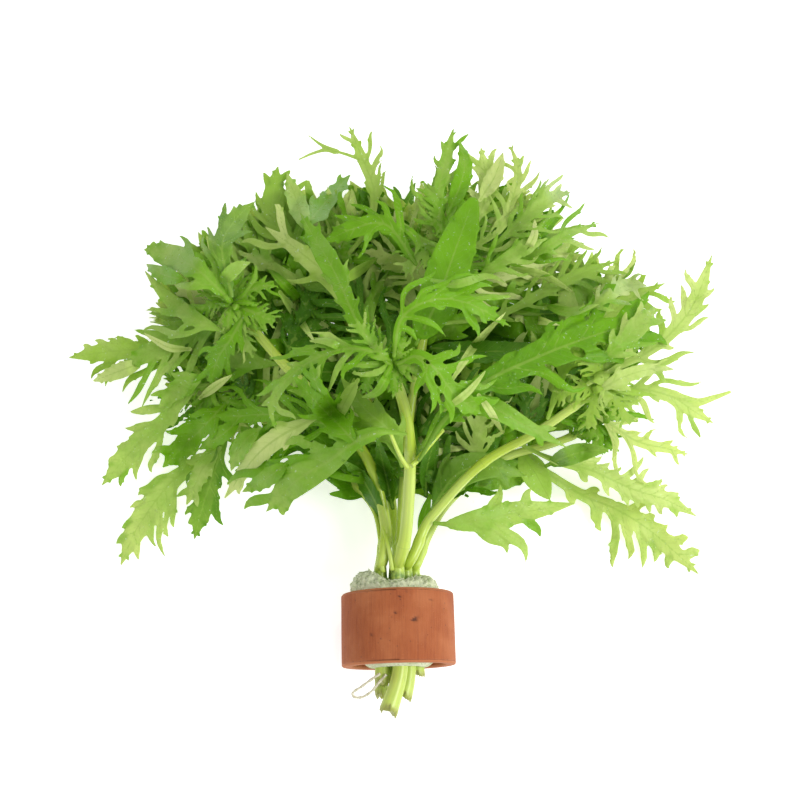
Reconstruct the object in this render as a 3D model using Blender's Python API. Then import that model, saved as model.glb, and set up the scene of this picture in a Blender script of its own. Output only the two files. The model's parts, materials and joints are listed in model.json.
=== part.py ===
"""A bunch of water wisteria, wrapped in foam and held in a clay ring, lying down on a flat surface.

The ring's axis runs along Y with the cut stem ends towards -Y and the leaves towards +Y.
The origin is the middle of the footprint, on the surface. Sizes below are in millimetres.
"""
import math

import bmesh
import bpy
import numpy as np
from mathutils import Vector

MM = 0.001

# Clay ring
RING_RADIUS = 13.4
RING_LENGTH = 16.6
RING_WALL = 2.5
RING_CHAMFER = 0.5
RING_SIDES = 40
RING_TURN = math.radians(1.5)
RING_MIDDLE = (-0.5, -57.5)

# Foam wrap
FOAM_GAP = 0.35
FOAM_HOLE = 6.3
FOAM_PROUD = 5.0
FOAM_SHORT = 0.5
FOAM_LUMP = 0.7
FOAM_SIDES = 26

# Stems
STEM_STEPS = 11
STEM_SIDES = 7
HELD_POINTS = 4

# Thread loop
THREAD_RADIUS = 0.28

# Piling
CLEARANCE = 0.42
CELL = 0.5
PLAN_LOW = (-92.0, -84.0)
PLAN_HIGH = (92.0, 78.0)
LIFT_BINS = 24
LIFT_REACH = 3

# Leaf substance
MIDRIB_THICKNESS = 0.9
LOBE_THICKNESS = 0.55
PETIOLE_HALF_WIDTH = 0.65
LOBE_LEAN = math.radians(47)
BARE_STRETCH = 0.27
BROAD_STATIONS = (0.2, 0.32, 0.46, 0.6, 0.74, 0.87)

# The plan of the bunch is drawn as an eye sees it that stands above it, a little towards the cut ends.
EYE_DISTANCE = 277.8
EYE_TILT = math.radians(17.3)
AXIS_HEIGHT = RING_RADIUS * math.cos(math.pi / RING_SIDES)
FOOTPRINT_MIDDLE = (-1.1, 0.0)

GREENS = {
    "bright": (0.22, 0.45, 0.03),
    "deep": (0.10, 0.26, 0.02),
    "pale": (0.42, 0.52, 0.17),
}

# Each stem: its radius, its place in the ring (right of the axis, above the axis), how far it is left
# standing out below the ring, its layer in the pile, and its way through the bunch (right, up, height).
STEMS = [
    dict(name="stem_back_left", radius=1.3, ring=(0.3, -4.4), cut=1.5, layer=1,
         way=[(-1, -36, 8.6), (-3, -20, 8), (-8, 0, 7.5), (-13, 20, 7.5), (-17, 33, 8)]),
    dict(name="stem_lower_left", radius=1.3, ring=(-4.2, -1.8), cut=6.5, layer=1,
         way=[(-4.3, -36, 11.4), (-4.6, -31, 11.2), (-7.5, -25, 10.8), (-12.5, -20.5, 10.3),
              (-22, -13, 9.4), (-34, -5, 9), (-45, 2, 9.5)]),
    dict(name="stem_lower_right", radius=1.3, ring=(4.4, -1.8), cut=2.0, layer=1,
         way=[(5.4, -38, 11.7), (7, -33.7, 11.6), (12.5, -25, 11.4), (25, -15, 11), (38, -11, 10.5),
              (48, -7, 10.5)]),
    dict(name="stem_back_top", radius=1.3, ring=(-0.6, -0.6), cut=2.5, layer=3,
         way=[(0, -36, 13.5), (1, -20, 16), (3, 0, 20), (7, 20, 24), (11, 36, 27)]),
    dict(name="stem_left", radius=1.5, ring=(-3.8, 1.6), cut=4.0, layer=3,
         way=[(-3.6, -36, 16), (-4, -28.7, 18), (-8, -15, 21), (-18, -2, 25), (-30, 10, 29),
              (-40, 22, 32)]),
    dict(name="stem_right", radius=1.4, ring=(2.4, 1.2), cut=8.0, cut_lean=-1.0, layer=5,
         way=[(4.2, -37, 15.2), (6.2, -30.2, 16.8), (11.5, -23.2, 20), (19.2, -18, 24), (28, -11, 28),
              (31.5, -10, 29.5), (36.5, -6.7, 31.5), (49, 2.2, 35)]),
    dict(name="stem_centre", radius=1.7, ring=(0.3, 4.2), cut=11.0, cut_lean=-2.6, layer=7,
         way=[(1.2, -35, 21), (2, -26.7, 26), (2.5, -16.2, 33), (2.2, -8, 39), (0.5, 0.5, 44.5),
              (-1.2, 5, 47), (-2, 9, 48.5)]),
]

# Each tuft: the middle of the shoot tip and the ends of its young leaves (right, up, height).
TUFTS = [
    dict(name="tuft_back_left", layer=2, middle=(-17.5, 35, 10),
         tips=[(-4, 48, 17), (-14, 52, 13), (-24, 49, 9), (-33, 42, 6), (-31, 30, 6), (-22, 22, 9),
               (-10, 24, 15), (-2, 35, 18)]),
    dict(name="tuft_lower_left", layer=2, middle=(-47, 3, 12),
         tips=[(-36, 9, 18), (-42, 17, 18), (-53, 16, 15), (-61, 8, 11), (-60, -3, 7), (-51, -11, 6),
               (-40, -9, 11), (-34, -1, 16)]),
    dict(name="tuft_lower_right", layer=2, middle=(49.5, -6, 13),
         tips=[(42, 6, 20), (51, 10, 19), (60, 5, 16), (65, -5, 10), (59, -13, 6), (49, -18, 7),
               (40, -15, 12), (36, -3, 17)]),
    dict(name="tuft_back_top", layer=4, middle=(11.5, 38, 29),
         tips=[(-1, 47, 33), (5, 55, 33), (15, 55, 30), (24, 49, 27), (27, 38, 25), (20, 27, 31),
               (9, 24, 34), (0, 32, 35)]),
    dict(name="tuft_left", layer=5, middle=(-42, 24, 34),
         tips=[(-37, 34.5, 38), (-46, 37, 36), (-55, 31, 30), (-54, 20, 26), (-47, 12, 26),
               (-37, 11, 31), (-30, 19, 37), (-30, 28, 39)]),
    dict(name="tuft_right", layer=6, middle=(51, 3.5, 37),
         tips=[(42, 13, 43), (52, 17, 41), (62, 12, 35), (65, 1, 29), (58, -7, 28), (48, -8, 31),
               (39, 0, 38)]),
    dict(name="tuft_centre", layer=9, middle=(-2, 9.5, 51),
         tips=[(-9.5, 1, 46), (-15, 9, 51), (-22, 15, 48), (-11, 21, 55), (2, 22, 57), (7, 8, 53),
               (-2, 1, 50)]),
]

# Each leaf: its midrib from the stem to the end (right, up, height), the ends of its lobes (right, up)
# or the count of evenly set lobes on each side, the half width of its blade and of its lobes.
LEAVES = [
    dict(name="leaf_ground_left", layer=0, tone="deep", lobes=4, reach=11, blade=1.6, lobe=1.9,
         way=[(-14, -12, 7), (-28, 0, 3), (-40, 12, 1), (-52, 25, 0)]),
    dict(name="leaf_ground_right", layer=0, tone="deep", lobes=4, reach=11, blade=1.6, lobe=1.9,
         way=[(16, -14, 8), (30, -2, 4), (42, 8, 1.5), (55, 19, 0)]),
    dict(name="leaf_ground_top", layer=0, tone="deep", lobes=4, reach=10, blade=1.6, lobe=1.9,
         way=[(-6, 16, 6), (-4, 30, 3), (0, 43, 1), (4, 55, 0)]),
    dict(name="leaf_ground_top_right", layer=0, tone="deep", lobes=4, reach=10, blade=1.6, lobe=1.9,
         way=[(8, 14, 8), (19, 24, 4), (30, 33, 1.5), (40, 43, 0)]),
    dict(name="leaf_lower_left", layer=0, tone="bright", blade=1.7, lobe=1.5, droop=0.5,
         way=[(-40, -6.5, 7), (-50, -15.7, 4), (-57.2, -20.5, 2), (-65.5, -31.7, 0.6), (-70, -41.7, 0)],
         tips=[(-65.2, -22), (-67.7, -27), (-69.6, -32), (-71, -36), (-65.2, -40.2), (-61.2, -36.7),
               (-58.7, -39.2), (-56.5, -32.2)]),
    dict(name="leaf_lower_right", layer=0, tone="bright", blade=1.5, lobe=1.5, droop=0.5,
         way=[(37, -14, 8), (42.5, -19.5, 5), (48.5, -24.5, 3), (60.5, -29.7, 1.2), (69.2, -37.7, 0.4),
              (75.5, -44.5, 0)],
         tips=[(75.2, -37.7), (72.2, -34.5), (67.7, -31.5), (67.5, -42.2), (63.2, -40.7), (58, -42),
               (53.2, -42.2), (50.7, -36.2)]),
    dict(name="leaf_left_hanging", layer=2, tone="deep", blade=1.5, lobe=1.6, droop=1.0,
         way=[(-42.5, -5, 12), (-46.2, -17.2, 9), (-49.2, -26.2, 5), (-51.5, -35, 2)],
         tips=[(-44, -31.5), (-54, -29), (-42.2, -23), (-53.5, -21)]),
    dict(name="leaf_left_slit", layer=2, tone="bright", blade=1.7, lobe=1.4, droop=1.0,
         way=[(-47, 4.5, 15), (-52.7, 1.7, 14), (-60, -6.2, 11), (-65.5, -11, 8), (-74.7, -21.5, 4)],
         tips=[(-67.7, -3), (-69, -7), (-71, -11.5), (-72.8, -15.8), (-69.7, -21.8), (-65.7, -20.5),
               (-62, -18.5)]),
    dict(name="leaf_right_pale", layer=2, tone="pale", blade=1.8, lobe=1.4, droop=1.0,
         way=[(38, -13, 15), (51, -18.5, 12), (62.5, -24.5, 8), (74.7, -29.5, 5)],
         tips=[(70.5, -22), (56, -24.5), (62, -18.5), (66.5, -30)]),
    dict(name="leaf_right_lacy", layer=2, tone="bright", blade=1.4, lobe=1.4, droop=1.5,
         way=[(47, -3, 17), (52, -5.5, 16), (59, -10.5, 13), (67.5, -13, 9), (72, -13.7, 7)],
         tips=[(65.5, -7), (63.7, -17.5), (55, -13.5), (70.5, -10.5), (60, -4.5), (69.5, -16.5)]),
    dict(name="leaf_right_tip", layer=2, tone="bright", blade=1.4, lobe=1.4, droop=1.0,
         way=[(50, -2, 18), (58.7, 2.5, 19), (67.5, 1, 17), (73, -2.5, 14), (78.7, -6, 11)],
         tips=[(76, 4.8), (82.5, 2.2), (72, -9.7), (75.2, -9.7), (67, 7), (64, -6)]),
    dict(name="leaf_far_left", layer=2, tone="pale", blade=1.5, lobe=1.4, droop=1.0,
         way=[(-49, 6, 16), (-58, 11.5, 17), (-66, 12.5, 16), (-73.7, 12, 13), (-83.2, 10.5, 9)],
         tips=[(-76.5, 14.8), (-70.7, 16.2), (-77.2, 5), (-73.7, 3.2), (-69.5, 1.5), (-63, 17)]),
    dict(name="leaf_left_green", layer=3, tone="bright", blade=1.5, lobe=1.5, droop=1.5,
         way=[(-41, 20, 26), (-52.5, 16.5, 22), (-61.2, 12.5, 18), (-70, 8.5, 13)],
         tips=[(-68.5, -1.5), (-64.7, -2), (-60.7, 3.5), (-55, 5), (-66.5, 17.5), (-60, 20)]),
    dict(name="leaf_top_antenna", layer=3, tone="pale", blade=1.0, lobe=1.0, droop=0.5,
         way=[(-15, 34, 14), (-8, 43, 17), (-6.5, 52, 19), (-9.5, 60.5, 19), (-13, 69.2, 17)],
         tips=[(-26, 59.7), (-23.5, 66.2), (-15.2, 66.7), (-6.7, 67.7), (-5.2, 64), (-3.5, 57.5)]),
    dict(name="leaf_top_left_fold", layer=3, tone="deep", blade=1.6, lobe=1.4, droop=1.5,
         way=[(-19, 32, 13), (-28.7, 41.2, 17), (-31.7, 46.5, 18), (-31.5, 52.5, 17), (-30.5, 58.7, 15)],
         tips=[(-34.2, 57), (-36, 52.5), (-27.3, 57.5), (-23, 55.2), (-20.2, 51), (-38.5, 47.5)]),
    dict(name="leaf_back_middle", layer=3, tone="deep", lobes=4, reach=9, blade=1.6, lobe=1.8,
         way=[(2, 2, 18), (-6, 14, 17), (-13, 24, 15), (-21, 36, 12)]),
    dict(name="leaf_upper_left_outer", layer=5, tone="bright", blade=1.7, lobe=1.5, droop=1.5,
         way=[(-43, 25.5, 37), (-51.2, 33, 33), (-57.5, 36, 27), (-64.2, 37.7, 21)],
         tips=[(-55.5, 41.2), (-60, 40.2), (-49, 41.5), (-61.5, 31.5), (-56.5, 28.5)]),
    dict(name="leaf_left_folded", broad=True, layer=5, tone="pale", blade=2.2, lobe=1.2, droop=1.5,
         way=[(-44, 17, 29), (-51.5, 20.5, 27), (-58.7, 26.2, 23), (-64, 32.5, 18)],
         tips=[(-62, 22.5), (-64.7, 17), (-58.5, 15.5)]),
    dict(name="leaf_upper_left_curled", layer=5, tone="deep", blade=1.9, lobe=1.4, droop=2.0,
         way=[(-42, 26, 33), (-44.5, 38.2, 32), (-41, 45.2, 29), (-36.2, 49.7, 25)],
         tips=[(-43.7, 49.7), (-48.5, 44), (-36.5, 42), (-38.5, 36)]),
    dict(name="leaf_top_spike", layer=5, tone="bright", blade=1.4, lobe=1.3, droop=1.0,
         way=[(11, 37, 31), (9.5, 50, 33), (11.5, 60, 32), (13.5, 68.5, 29)],
         tips=[(8.7, 61.5), (3.2, 56.5), (17.5, 66.7), (16.5, 58.5), (4, 50)]),
    dict(name="leaf_top_pale", layer=5, tone="pale", blade=1.6, lobe=1.4, droop=1.0,
         way=[(13, 38, 31), (19.7, 46.2, 32), (21.5, 54, 31), (20.2, 63.5, 28)],
         tips=[(15.5, 62.5), (26.2, 60.2), (16, 54.5), (27, 53)]),
    dict(name="leaf_top_right_lacy", layer=5, tone="bright", blade=1.5, lobe=1.3, droop=1.0,
         way=[(13, 36, 31), (24.5, 42, 31), (28, 50, 29), (29.5, 57.5, 26), (27, 65, 23)],
         tips=[(34, 60), (36.7, 55.5), (38.5, 50.5), (23.7, 59.5), (22.5, 51.5)]),
    dict(name="leaf_upper_right_comb", layer=5, tone="bright", blade=1.5, lobe=1.4, droop=1.5,
         way=[(13, 34, 30), (24, 34, 31), (35, 37.5, 29), (42, 41.5, 26), (49.7, 44.5, 22)],
         tips=[(42.2, 52.7), (45.2, 49.7), (36, 49), (51.2, 39.7), (46, 36.2), (39, 31.5)]),
    dict(name="leaf_upper_right_pinnate", layer=5, tone="bright", blade=1.5, lobe=1.4, droop=1.5,
         way=[(8, 22, 27), (15.2, 26, 30), (22.5, 32.5, 31), (31.2, 39.2, 29), (34, 46, 27)],
         tips=[(38, 40.5), (33.5, 32.5), (28, 27), (24.5, 42), (17, 37)]),
    dict(name="leaf_right_needles", layer=4, tone="deep", blade=1.3, lobe=1.2, droop=1.5,
         way=[(10, 19, 25), (24, 21, 24), (36, 27, 22), (46, 32, 19), (55, 35, 15)],
         tips=[(57.5, 31.2), (50.5, 38.5), (52, 27), (45, 39), (43, 22.5), (36, 34.5)]),
    dict(name="leaf_right_outer", layer=5, tone="pale", blade=1.5, lobe=1.3, droop=1.5,
         way=[(37, -4.5, 32), (41, 7, 31), (47, 17, 28), (57, 25, 22), (67, 29.5, 16)],
         tips=[(62.5, 33), (69.5, 25), (64, 20.5), (59, 14.5), (51, 28.5), (42, 23), (36, 15)]),
    dict(name="leaf_left_fingers", layer=5, tone="bright", blade=1.4, lobe=1.5, droop=2.0,
         way=[(-12, -8, 24), (-22.5, -5, 24), (-32.5, -3.7, 22), (-40, -4, 19), (-49, -4.5, 15)],
         tips=[(-47.5, -10), (-43, -14), (-36.5, -16), (-29.5, -15), (-44, 3), (-37, 5), (-30, 6.5)]),
    dict(name="leaf_left_drooping", layer=6, tone="bright", blade=1.7, lobe=1.5, droop=2.0,
         way=[(-39, 21, 34), (-42.5, 15, 33), (-45.5, 10.5, 29), (-47.5, 4, 23)],
         tips=[(-39.5, 11.5), (-41.5, 4.5), (-50.5, 10.5), (-52, 4)]),
    dict(name="leaf_cream", broad=True, layer=6, tone="pale", lobes=2, reach=3.6, blade=2.3, lobe=1.4,
         way=[(-20, -4, 24), (-29, -8.5, 22), (-36, -14, 17), (-44.2, -25, 10)]),
    dict(name="leaf_dark_broad", broad=True, layer=4, tone="deep", lobes=2, reach=6.5, blade=3.6, lobe=1.8,
         way=[(7.5, -28, 14.5), (13.7, -19, 16), (21.5, -16.5, 16), (31.5, -19, 13)]),
    dict(name="leaf_underside_up", broad=True, layer=6, tone="pale", blade=2.4, lobe=1.5, droop=1.5,
         way=[(-10, 18, 30), (-16, 29, 32), (-25, 37, 31), (-34, 43.5, 27)],
         tips=[(-40, 39.2), (-29, 30.5), (-21, 42.5), (-32, 50)]),
    dict(name="leaf_top_inner", layer=6, tone="bright", blade=1.8, lobe=1.4, droop=1.5,
         way=[(4, 34, 33), (-3.2, 43.7, 35), (-11.2, 43, 34), (-20, 39, 31)],
         tips=[(-17, 46.2), (-13.2, 49), (-7, 54.5), (-1.5, 52.5), (-11, 35)]),
    dict(name="leaf_by_stem", broad=True, layer=8, tone="bright", blade=3.0, lobe=1.7, droop=2.5,
         way=[(8.6, -30.8, 18.5), (12, -31, 20), (17.5, -29.7, 20.5), (29.5, -25.2, 18), (43.5, -25, 13)],
         tips=[(27.2, -39), (31.7, -40.7), (34.5, -33.5), (36, -21), (25, -20)]),
    dict(name="leaf_far_right_upturned", layer=8, tone="pale", blade=1.5, lobe=1.4, droop=1.0,
         way=[(47, 4, 38), (54, 8, 38), (62, 12, 36), (68, 17, 34), (73.7, 24.5, 32), (78.2, 36.7, 31)],
         tips=[(78.7, 28.2), (77.5, 20.5), (74, 11.7), (71.7, 33), (68, 26.5), (63, 21)]),
    dict(name="leaf_right_band", broad=True, layer=8, tone="bright", lobes=2, reach=4.5, blade=2.4, lobe=1.5,
         way=[(5, -12, 37), (13, -2.5, 41), (21.7, -1.5, 42), (31.5, -6.5, 39), (42, -12, 34)]),
    dict(name="leaf_left_inner", broad=True, layer=8, tone="pale", lobes=3, reach=6, blade=2.4, lobe=1.6,
         way=[(0.5, -16.5, 35), (-2.5, -8, 36), (-9, -2, 36), (-15, 6, 34)]),
    dict(name="leaf_long_bright", layer=8, tone="bright", lobes=3, reach=4.6, blade=2.0, lobe=1.2,
         way=[(-4, 9, 50), (-10.7, 19.5, 49), (-15.7, 30.7, 44), (-20.5, 39.2, 38), (-25.2, 47.2, 32)]),
    dict(name="leaf_broad_entire", broad=True, layer=8, tone="bright", lobes=0, reach=0, blade=4.6, lobe=0.5,
         way=[(3, 14, 44), (9, 25, 45), (12.5, 34.5, 43), (15.7, 43, 40), (18.2, 50.5, 36)]),
    dict(name="leaf_great_right", layer=8, tone="bright", blade=2.2, lobe=1.9, droop=2.5,
         way=[(4.8, -15, 37), (10.7, -5.5, 42), (20.5, 4, 46), (35, 11, 46), (48.7, 16.2, 43),
              (63.5, 20.7, 38)],
         tips=[(57.2, 31.5), (62, 28), (46, 27), (36, 22.5), (63, 13), (54, 6.5), (43, 2), (26, 14.5)]),
    dict(name="leaf_great_drooping", broad=True, layer=9, tone="bright", blade=5.2, lobe=1.8, droop=3.0,
         way=[(1.2, -8.5, 42), (-6.2, -8.5, 44), (-13.7, -11.7, 41), (-22.5, -15.5, 34),
              (-31.2, -20, 26), (-38, -23.5, 20)],
         tips=[(-35, -29), (-27, -27), (-29, -11.5)]),
    dict(name="leaf_left_top_fingers", layer=9, tone="bright", blade=1.6, lobe=1.6, droop=2.0,
         way=[(-2.2, 8.5, 50), (-7, 12, 52), (-14.5, 12.7, 51), (-23.2, 9.2, 47), (-29.2, 4, 43),
              (-32.2, -2.2, 38), (-30.7, -8.5, 33)],
         tips=[(-18.5, 1.2), (-24.5, -1.5), (-36.5, 1), (-33.5, 10.5), (-24, 16.5)]),
    dict(name="leaf_centre_lacy", layer=9, tone="bright", blade=1.7, lobe=1.7, droop=2.0,
         way=[(-0.5, 7, 51), (6.2, 9, 53), (13.7, 4.5, 52), (21.7, -5.5, 46)],
         tips=[(12.5, -5.7), (5.5, -0.5), (19.5, 13), (26.2, 5.5), (27, -2)]),
    dict(name="leaf_centre_arch", layer=9, tone="bright", blade=1.5, lobe=1.5, droop=2.0,
         way=[(-1.5, 11, 52), (0.5, 20.5, 55), (8, 25, 56), (17, 24.2, 54), (28, 18.2, 49)],
         tips=[(4.5, 14.5), (11.5, 15.7), (19.5, 15.5), (9.5, 33), (20.5, 31), (28.5, 26)]),
]


def in_space(right, up, height):
    """Carry a point of the plan at a height into space, along the line of sight through it."""
    lean, level = math.sin(EYE_TILT), math.cos(EYE_TILT)
    share = (EYE_DISTANCE * level + AXIS_HEIGHT - height) / (EYE_DISTANCE * level - up * lean)
    x = share * right - FOOTPRINT_MIDDLE[0]
    y = share * (EYE_DISTANCE * lean + up * level) - EYE_DISTANCE * lean - FOOTPRINT_MIDDLE[1]
    return Vector((x, y, height))


def on_plan(point):
    """Give the place on the plan (right, up) at which a point in space is seen."""
    lean, level = math.sin(EYE_TILT), math.cos(EYE_TILT)
    x = point[0] + FOOTPRINT_MIDDLE[0]
    y = point[1] + FOOTPRINT_MIDDLE[1] + EYE_DISTANCE * lean
    z = point[2] - AXIS_HEIGHT - EYE_DISTANCE * level
    depth = y * lean - z * level
    return EYE_DISTANCE * x / depth, EYE_DISTANCE * (y * level + z * lean) / depth


def smooth_way(points, steps=12):
    """Run one smooth curve through the points and return it as a dense array."""
    knots = np.array(points, float)
    knots = np.vstack([2 * knots[0] - knots[1], knots, 2 * knots[-1] - knots[-2]])
    rows = []
    for a, b, c, d in zip(knots, knots[1:], knots[2:], knots[3:]):
        for t in np.linspace(0, 1, steps, endpoint=False):
            rows.append(0.5 * (2 * b + (c - a) * t + (2 * a - 5 * b + 4 * c - d) * t * t
                               + (3 * b - a - 3 * c + d) * t ** 3))
    rows.append(knots[-2])
    return np.array(rows)


class Midrib:
    """The leaf's middle line on the plan, with its heights, read by the share of its length."""

    def __init__(self, way):
        self.rows = smooth_way(way)
        steps = np.linalg.norm(np.diff(self.rows[:, :2], axis=0), axis=1)
        self.run = np.concatenate([[0.0], np.cumsum(steps)])
        self.length = self.run[-1]
        self.run /= self.length

    def place(self, share):
        inside = min(max(share, 0.0), 1.0)
        here = np.array([np.interp(inside, self.run, self.rows[:, axis]) for axis in range(2)])
        return here + (share - inside) * self.length * self.heading(inside)

    def heading(self, share):
        low, high = max(share - 0.04, 0.0), min(share + 0.04, 1.0)
        ends = [np.array([np.interp(s, self.run, self.rows[:, axis]) for axis in range(2)])
                for s in (low, high)]
        step = ends[1] - ends[0]
        return step / np.linalg.norm(step)

    def leftward(self, share):
        ahead = self.heading(share)
        return np.array([-ahead[1], ahead[0]])

    def height(self, share):
        inside = min(max(share, 0.0), 1.0)
        level = np.interp(inside, self.run, self.rows[:, 2])
        if share > 1.0:
            fall = (self.rows[-1, 2] - np.interp(0.9, self.run, self.rows[:, 2])) / 0.1
            level += fall * (share - 1.0)
        return level

    def nearest(self, place):
        gaps = np.linalg.norm(self.rows[:, :2] - place, axis=1)
        row = int(np.argmin(gaps))
        return self.run[row], gaps[row]


def even_tips(leaf, midrib):
    """Set lobes in pairs along the midrib, longest below the middle."""
    tips = []
    for pair in range(leaf["lobes"]):
        share = 0.30 + 0.55 * pair / max(leaf["lobes"] - 1, 1)
        size = leaf["reach"] * (1.0 - 0.45 * abs(share - 0.45) / 0.45)
        for side in (1, -1):
            stir = 1.0 + 0.14 * math.sin(7.3 * pair + 2.1 * side + len(leaf["name"]))
            ahead = share + 0.62 * size * stir / midrib.length
            tips.append(tuple(midrib.place(ahead) + side * size * stir * midrib.leftward(min(ahead, 1.0))))
    return tips


def lobes_between(leaf, midrib, side, roots):
    """Set a short lobe in each long bare stretch of a cut leaf's side."""
    fresh = []
    if leaf.get("broad"):
        return fresh
    for low, high in zip([0.16] + roots, roots + [0.92]):
        if high - low > BARE_STRETCH:
            root = 0.5 * (low + high)
            size = leaf.get("short", 5.0) * (1.1 - 0.4 * root)
            way = 0.68 * midrib.heading(root) + 0.73 * side * midrib.leftward(root)
            fresh.append([root, midrib.place(root) + size * way])
    return fresh


def lobes_of(leaf, midrib):
    """Work out where each lobe leaves the midrib and how wide its foot is."""
    tips = leaf["tips"] if "tips" in leaf else even_tips(leaf, midrib)
    sides = {1: [], -1: []}
    for tip in tips:
        tip = np.array(tip, float)
        share, gap = midrib.nearest(tip)
        side = 1 if np.dot(tip - midrib.place(share), midrib.leftward(share)) > 0 else -1
        past = max(np.dot(tip - midrib.place(1.0), midrib.heading(1.0)), 0.0) / midrib.length
        root = share + past - gap / math.tan(LOBE_LEAN) / midrib.length
        sides[side].append([min(max(root, 0.16), 0.86), tip])
    for side in sides:
        sides[side] += lobes_between(leaf, midrib, side, sorted(lobe[0] for lobe in sides[side]))
        sides[side].sort(key=lambda lobe: lobe[0])
        foot = 2.3 * leaf["lobe"] / midrib.length
        for before, after in zip(sides[side], sides[side][1:]):
            after[0] = max(after[0], before[0] + foot)
        spill = max([lobe[0] for lobe in sides[side]] + [0.88]) - 0.88
        for lobe in sides[side]:
            lobe[0] -= spill * (lobe[0] - 0.1) / 0.8
    return sides


def blade_half_width(leaf, share, first, last):
    """Half width of the blade: a thin petiole, then the leaf's own width, then a tapered end."""
    if leaf.get("broad"):
        across = min(max((share - 0.08) / 0.92, 0.0), 1.0)
        return PETIOLE_HALF_WIDTH * (1 - across) + leaf["blade"] * math.sin(math.pi * across ** 0.8) ** 0.9
    if share <= first:
        grow = max(share / first, 0.0) ** 3
        return PETIOLE_HALF_WIDTH + (leaf["blade"] * 0.75 - PETIOLE_HALF_WIDTH) * grow
    if share <= last:
        across = (share - first) / (last - first)
        return leaf["blade"] * (0.75 + 0.25 * math.sin(math.pi * across))
    across = (share - last) / (1.0 - last)
    return max(leaf["blade"] * (0.75 + 0.9 * across) * (1.0 - across ** 1.6), 0.0)


class Skin:
    """The leaf's middle surface: places on the plan, heights, half thicknesses and triangles."""

    def __init__(self, leaf, midrib):
        self.leaf, self.midrib = leaf, midrib
        self.places, self.shares, self.heights, self.half = [], [], [], []
        self.triangles = []

    def point(self, place, root, half):
        """Add a point and lay it on the leaf's surface; half is 0 on the rim."""
        midrib, leaf = self.midrib, self.leaf
        offset = np.array(place) - midrib.place(root)
        share = root + np.dot(offset, midrib.heading(root)) / midrib.length
        aside = abs(np.dot(offset, midrib.leftward(root)))
        height = midrib.height(share) - leaf.get("droop", 1.5) * (aside / 12.0) ** 2
        self.places.append(tuple(place))
        self.shares.append(min(max(share, 0.0), 1.0))
        self.heights.append(height)
        self.half.append(half)
        return len(self.places) - 1

    def triangle(self, side, a, b, c):
        self.triangles.append((a, b, c) if side > 0 else (a, c, b))

    def zip_rows(self, side, inner, outer):
        """Fill the band between a row of midrib points and a row of edge points."""
        i = j = 0
        while i < len(inner) - 1 or j < len(outer) - 1:
            step_in = i < len(inner) - 1
            if step_in and j < len(outer) - 1:
                step_in = self.shares[inner[i + 1]] <= self.shares[outer[j + 1]]
            if step_in:
                if inner[i + 1] != outer[j] and inner[i] != outer[j]:
                    self.triangle(side, inner[i], inner[i + 1], outer[j])
                i += 1
            else:
                if outer[j + 1] != inner[i] and inner[i] != outer[j]:
                    self.triangle(side, inner[i], outer[j + 1], outer[j])
                j += 1


def lobe_line(midrib, root, tip, t):
    """A lobe's middle line: it leaves the midrib steeply and turns forward to its tip."""
    start = midrib.place(root)
    size = np.linalg.norm(tip - start)
    side = 1 if np.dot(tip - start, midrib.leftward(root)) > 0 else -1
    out = 0.8 * side * midrib.leftward(root) + 0.6 * midrib.heading(root)
    bend = start + 0.5 * size * out
    return (1 - t) ** 2 * start + 2 * t * (1 - t) * bend + t * t * tip


def leaf_skin(leaf):
    """Build the middle surface of one leaf from its midrib and its lobes."""
    midrib = Midrib(leaf["way"])
    sides = lobes_of(leaf, midrib)
    roots = sorted(lobe[0] for side in sides for lobe in sides[side])
    foot = 0.5 * 1.7 * leaf["lobe"] / midrib.length
    first = min([root - foot - 0.03 for root in roots] + [0.16])
    last = max(roots[-1] + 0.04, 0.7) if roots else 0.7
    stations = BROAD_STATIONS if leaf.get("broad") else (0.5 * (last + 1.0),)
    skin = Skin(leaf, midrib)
    base = skin.point(midrib.place(0.0), 0.0, 0.0)
    marks = sorted(set([first] + roots + [s for s in stations if s > first + 0.04]))
    marks = [m for i, m in enumerate(marks) if i == 0 or m - marks[i - 1] > 0.02 or m in roots]
    spine = {m: skin.point(midrib.place(m), m, 0.5 * MIDRIB_THICKNESS * (1.15 - 0.5 * m)) for m in marks}
    end = skin.point(midrib.place(1.0), 1.0, 0.0)
    for side in (1, -1):

        def edge(share):
            width = blade_half_width(leaf, share, first, last)
            return skin.point(midrib.place(share) + side * width * midrib.leftward(share), share, 0.0)

        outer, start, reached = [base, edge(first * 0.6)], base, first
        for root, tip in sides[side]:
            outer += [edge(s) for s in stations if reached + 0.04 < s < root - foot - 0.03]
            near, far = edge(root - foot), edge(root + foot)
            between = [spine[m] for m in marks if skin.shares[start] < m < root]
            skin.zip_rows(side, [start] + between + [spine[root]], outer + [near])
            line = [lobe_line(midrib, root, tip, t) for t in (0.42, 0.52, 0.62)]
            ahead = (line[2] - line[0]) / np.linalg.norm(line[2] - line[0])
            across = leaf["lobe"] * np.array([-ahead[1], ahead[0]]) * side
            core = skin.point(line[1], root, 0.5 * LOBE_THICKNESS)
            back, front = skin.point(line[1] + across, root, 0.0), skin.point(line[1] - across, root, 0.0)
            point = skin.point(tip, root, 0.0)
            for corners in ((spine[root], core, near), (core, back, near), (spine[root], far, core),
                            (far, front, core), (core, point, back), (core, front, point)):
                skin.triangle(side, *corners)
            outer, start, reached = [far], spine[root], root + foot
        outer += [edge(s) for s in sorted(set(stations) | {last}) if s > reached + 0.03]
        between = [spine[m] for m in marks if skin.shares[start] < m]
        skin.zip_rows(side, [start] + between + [end], outer + [end])
    return skin


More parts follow.
